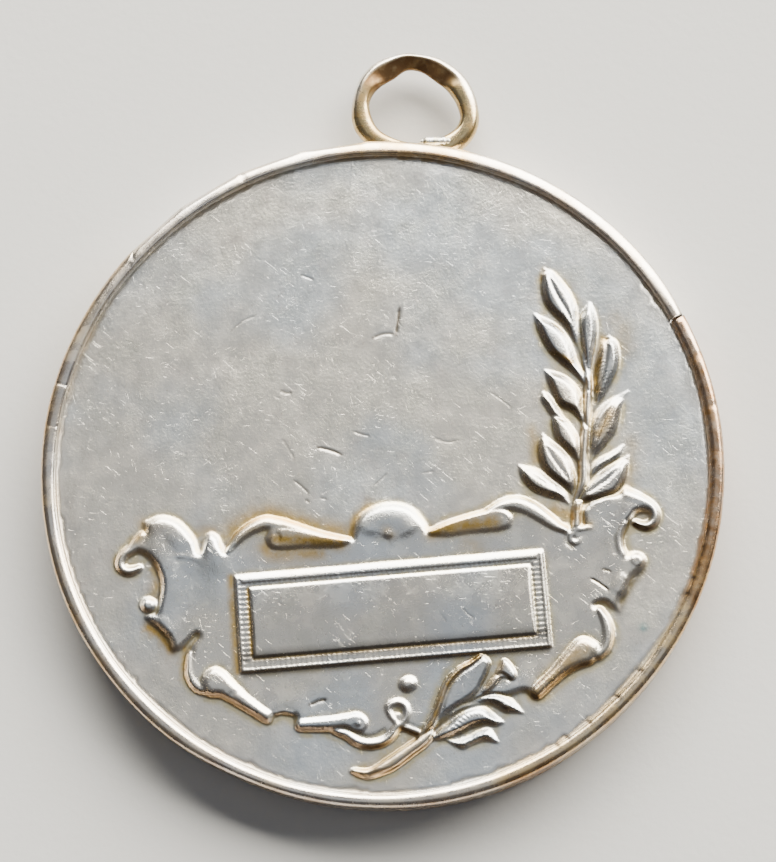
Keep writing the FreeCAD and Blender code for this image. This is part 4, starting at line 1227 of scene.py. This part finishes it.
def solder_metal():
    """Dull silver solder with a greenish tarnish."""
    m = Surface("solder_metal")
    colour = m.mix(m.patches(0.4, 25.0, 0.4, 0.65, 0, 1, 4.0), (0.86, 0.86, 0.86), (0.52, 0.48, 0.32))
    m.bump(m.noise(0.18, 26.0, 4.0), 0.7, 0.03)
    return m.finish(colour, m.patches(0.3, 27.0, 0.3, 0.7, 0.25, 0.42))


def filler_metal():
    """The plain base metal of the hidden filler disc."""
    m = Surface("filler_metal")
    colour = m.mix(m.noise(2.0, 28.0, 4.0), (0.28, 0.27, 0.26), (0.42, 0.40, 0.37))
    m.bump(m.noise(0.3, 29.0, 4.0), 0.5, 0.02)
    return m.finish(colour, m.patches(0.5, 30.0, 0.3, 0.7, 0.5, 0.7))


def give(piece, material):
    """Put a material on a whole piece or CAD node."""
    piece.data.materials.clear()
    piece.data.materials.append(material)


# ---------------------------------------------------------------- floor, light, camera

def make_floor():
    """The plain pale floor that the medal lies on."""
    half = 1.5
    corners = [(-half, -half, 0), (half, -half, 0), (half, half, 0), (-half, half, 0)]
    mesh = bpy.data.meshes.new("floor")
    mesh.from_pydata(corners, [], [(0, 1, 2, 3)])
    floor = bpy.data.objects.new("floor", mesh)
    bpy.context.scene.collection.objects.link(floor)
    m = Surface("floor_paper")
    m.bump(m.noise(0.5, 0.0, 4.0), 0.3, 0.05)
    give(floor, m.finish((0.66, 0.66, 0.65), 0.9, 0.0))


def softbox(name, place, size, power, colour):
    """A soft rectangular light that faces the medal."""
    light = bpy.data.lights.new(name, "AREA")
    light.shape = "RECTANGLE"
    light.size, light.size_y = size
    light.energy = power
    light.color = colour
    holder = bpy.data.objects.new(name, light)
    holder.location = place
    holder.rotation_euler = (-Vector(place)).to_track_quat("-Z", "Y").to_euler()
    bpy.context.scene.collection.objects.link(holder)


def make_light():
    """A large softbox beyond the loop lights the upper slopes; the near side stays dim."""
    world = bpy.data.worlds.new("studio")
    bpy.context.scene.world = world
    world.use_nodes = True
    background = world.node_tree.nodes["Background"]
    background.inputs["Color"].default_value = (0.9, 0.92, 1.0, 1)
    background.inputs["Strength"].default_value = 0.11
    softbox("window", place=(0.2, 0.75, 0.44), size=(1.6, 0.8), power=66.0, colour=(1.0, 0.955, 0.86))
    softbox("ceiling", place=(0.0, 0.0, 0.85), size=(0.6, 0.45), power=0.35, colour=(0.86, 0.93, 1.0))


def make_camera():
    """The camera looks down on the lying medal from a little below and to its right."""
    elevation, azimuth, roll = math.radians(76.39), math.radians(14.75), math.radians(5.52)
    aim = Vector((0.17, 1.79, 2.0)) * MM
    distance = 118.6 * MM
    back = Vector((math.sin(azimuth) * math.cos(elevation), -math.cos(azimuth) * math.cos(elevation),
                   math.sin(elevation)))
    right = Vector((0, 1, 0)).cross(back).normalized()
    up = back.cross(right)
    rolled_right = math.cos(roll) * right + math.sin(roll) * up
    rolled_up = -math.sin(roll) * right + math.cos(roll) * up
    camera = bpy.data.cameras.new("camera")
    camera.lens = 100
    camera.sensor_width = 36
    camera.clip_start = 0.001
    holder = bpy.data.objects.new("camera", camera)
    turn = Matrix((rolled_right, rolled_up, back)).transposed().to_4x4()
    holder.matrix_world = Matrix.Translation(aim + back * distance) @ turn
    bpy.context.scene.collection.objects.link(holder)
    bpy.context.scene.camera = holder


# ---------------------------------------------------------------- the whole scene

def build():
    """Camera, floor, light and the seven pieces of the medal with their materials."""
    make_camera()
    make_floor()
    make_light()
    give(make_front_face(struck_face()), aged_silver())
    give(make_back_face(), back_silver())
    give(make_rim(), worn_rim())
    give(make_loop(), loop_brass())
    solder = solder_metal()
    for side in (-1, 1):
        give(make_solder(side), solder)
    give(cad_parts["core_disc"], filler_metal())


build()
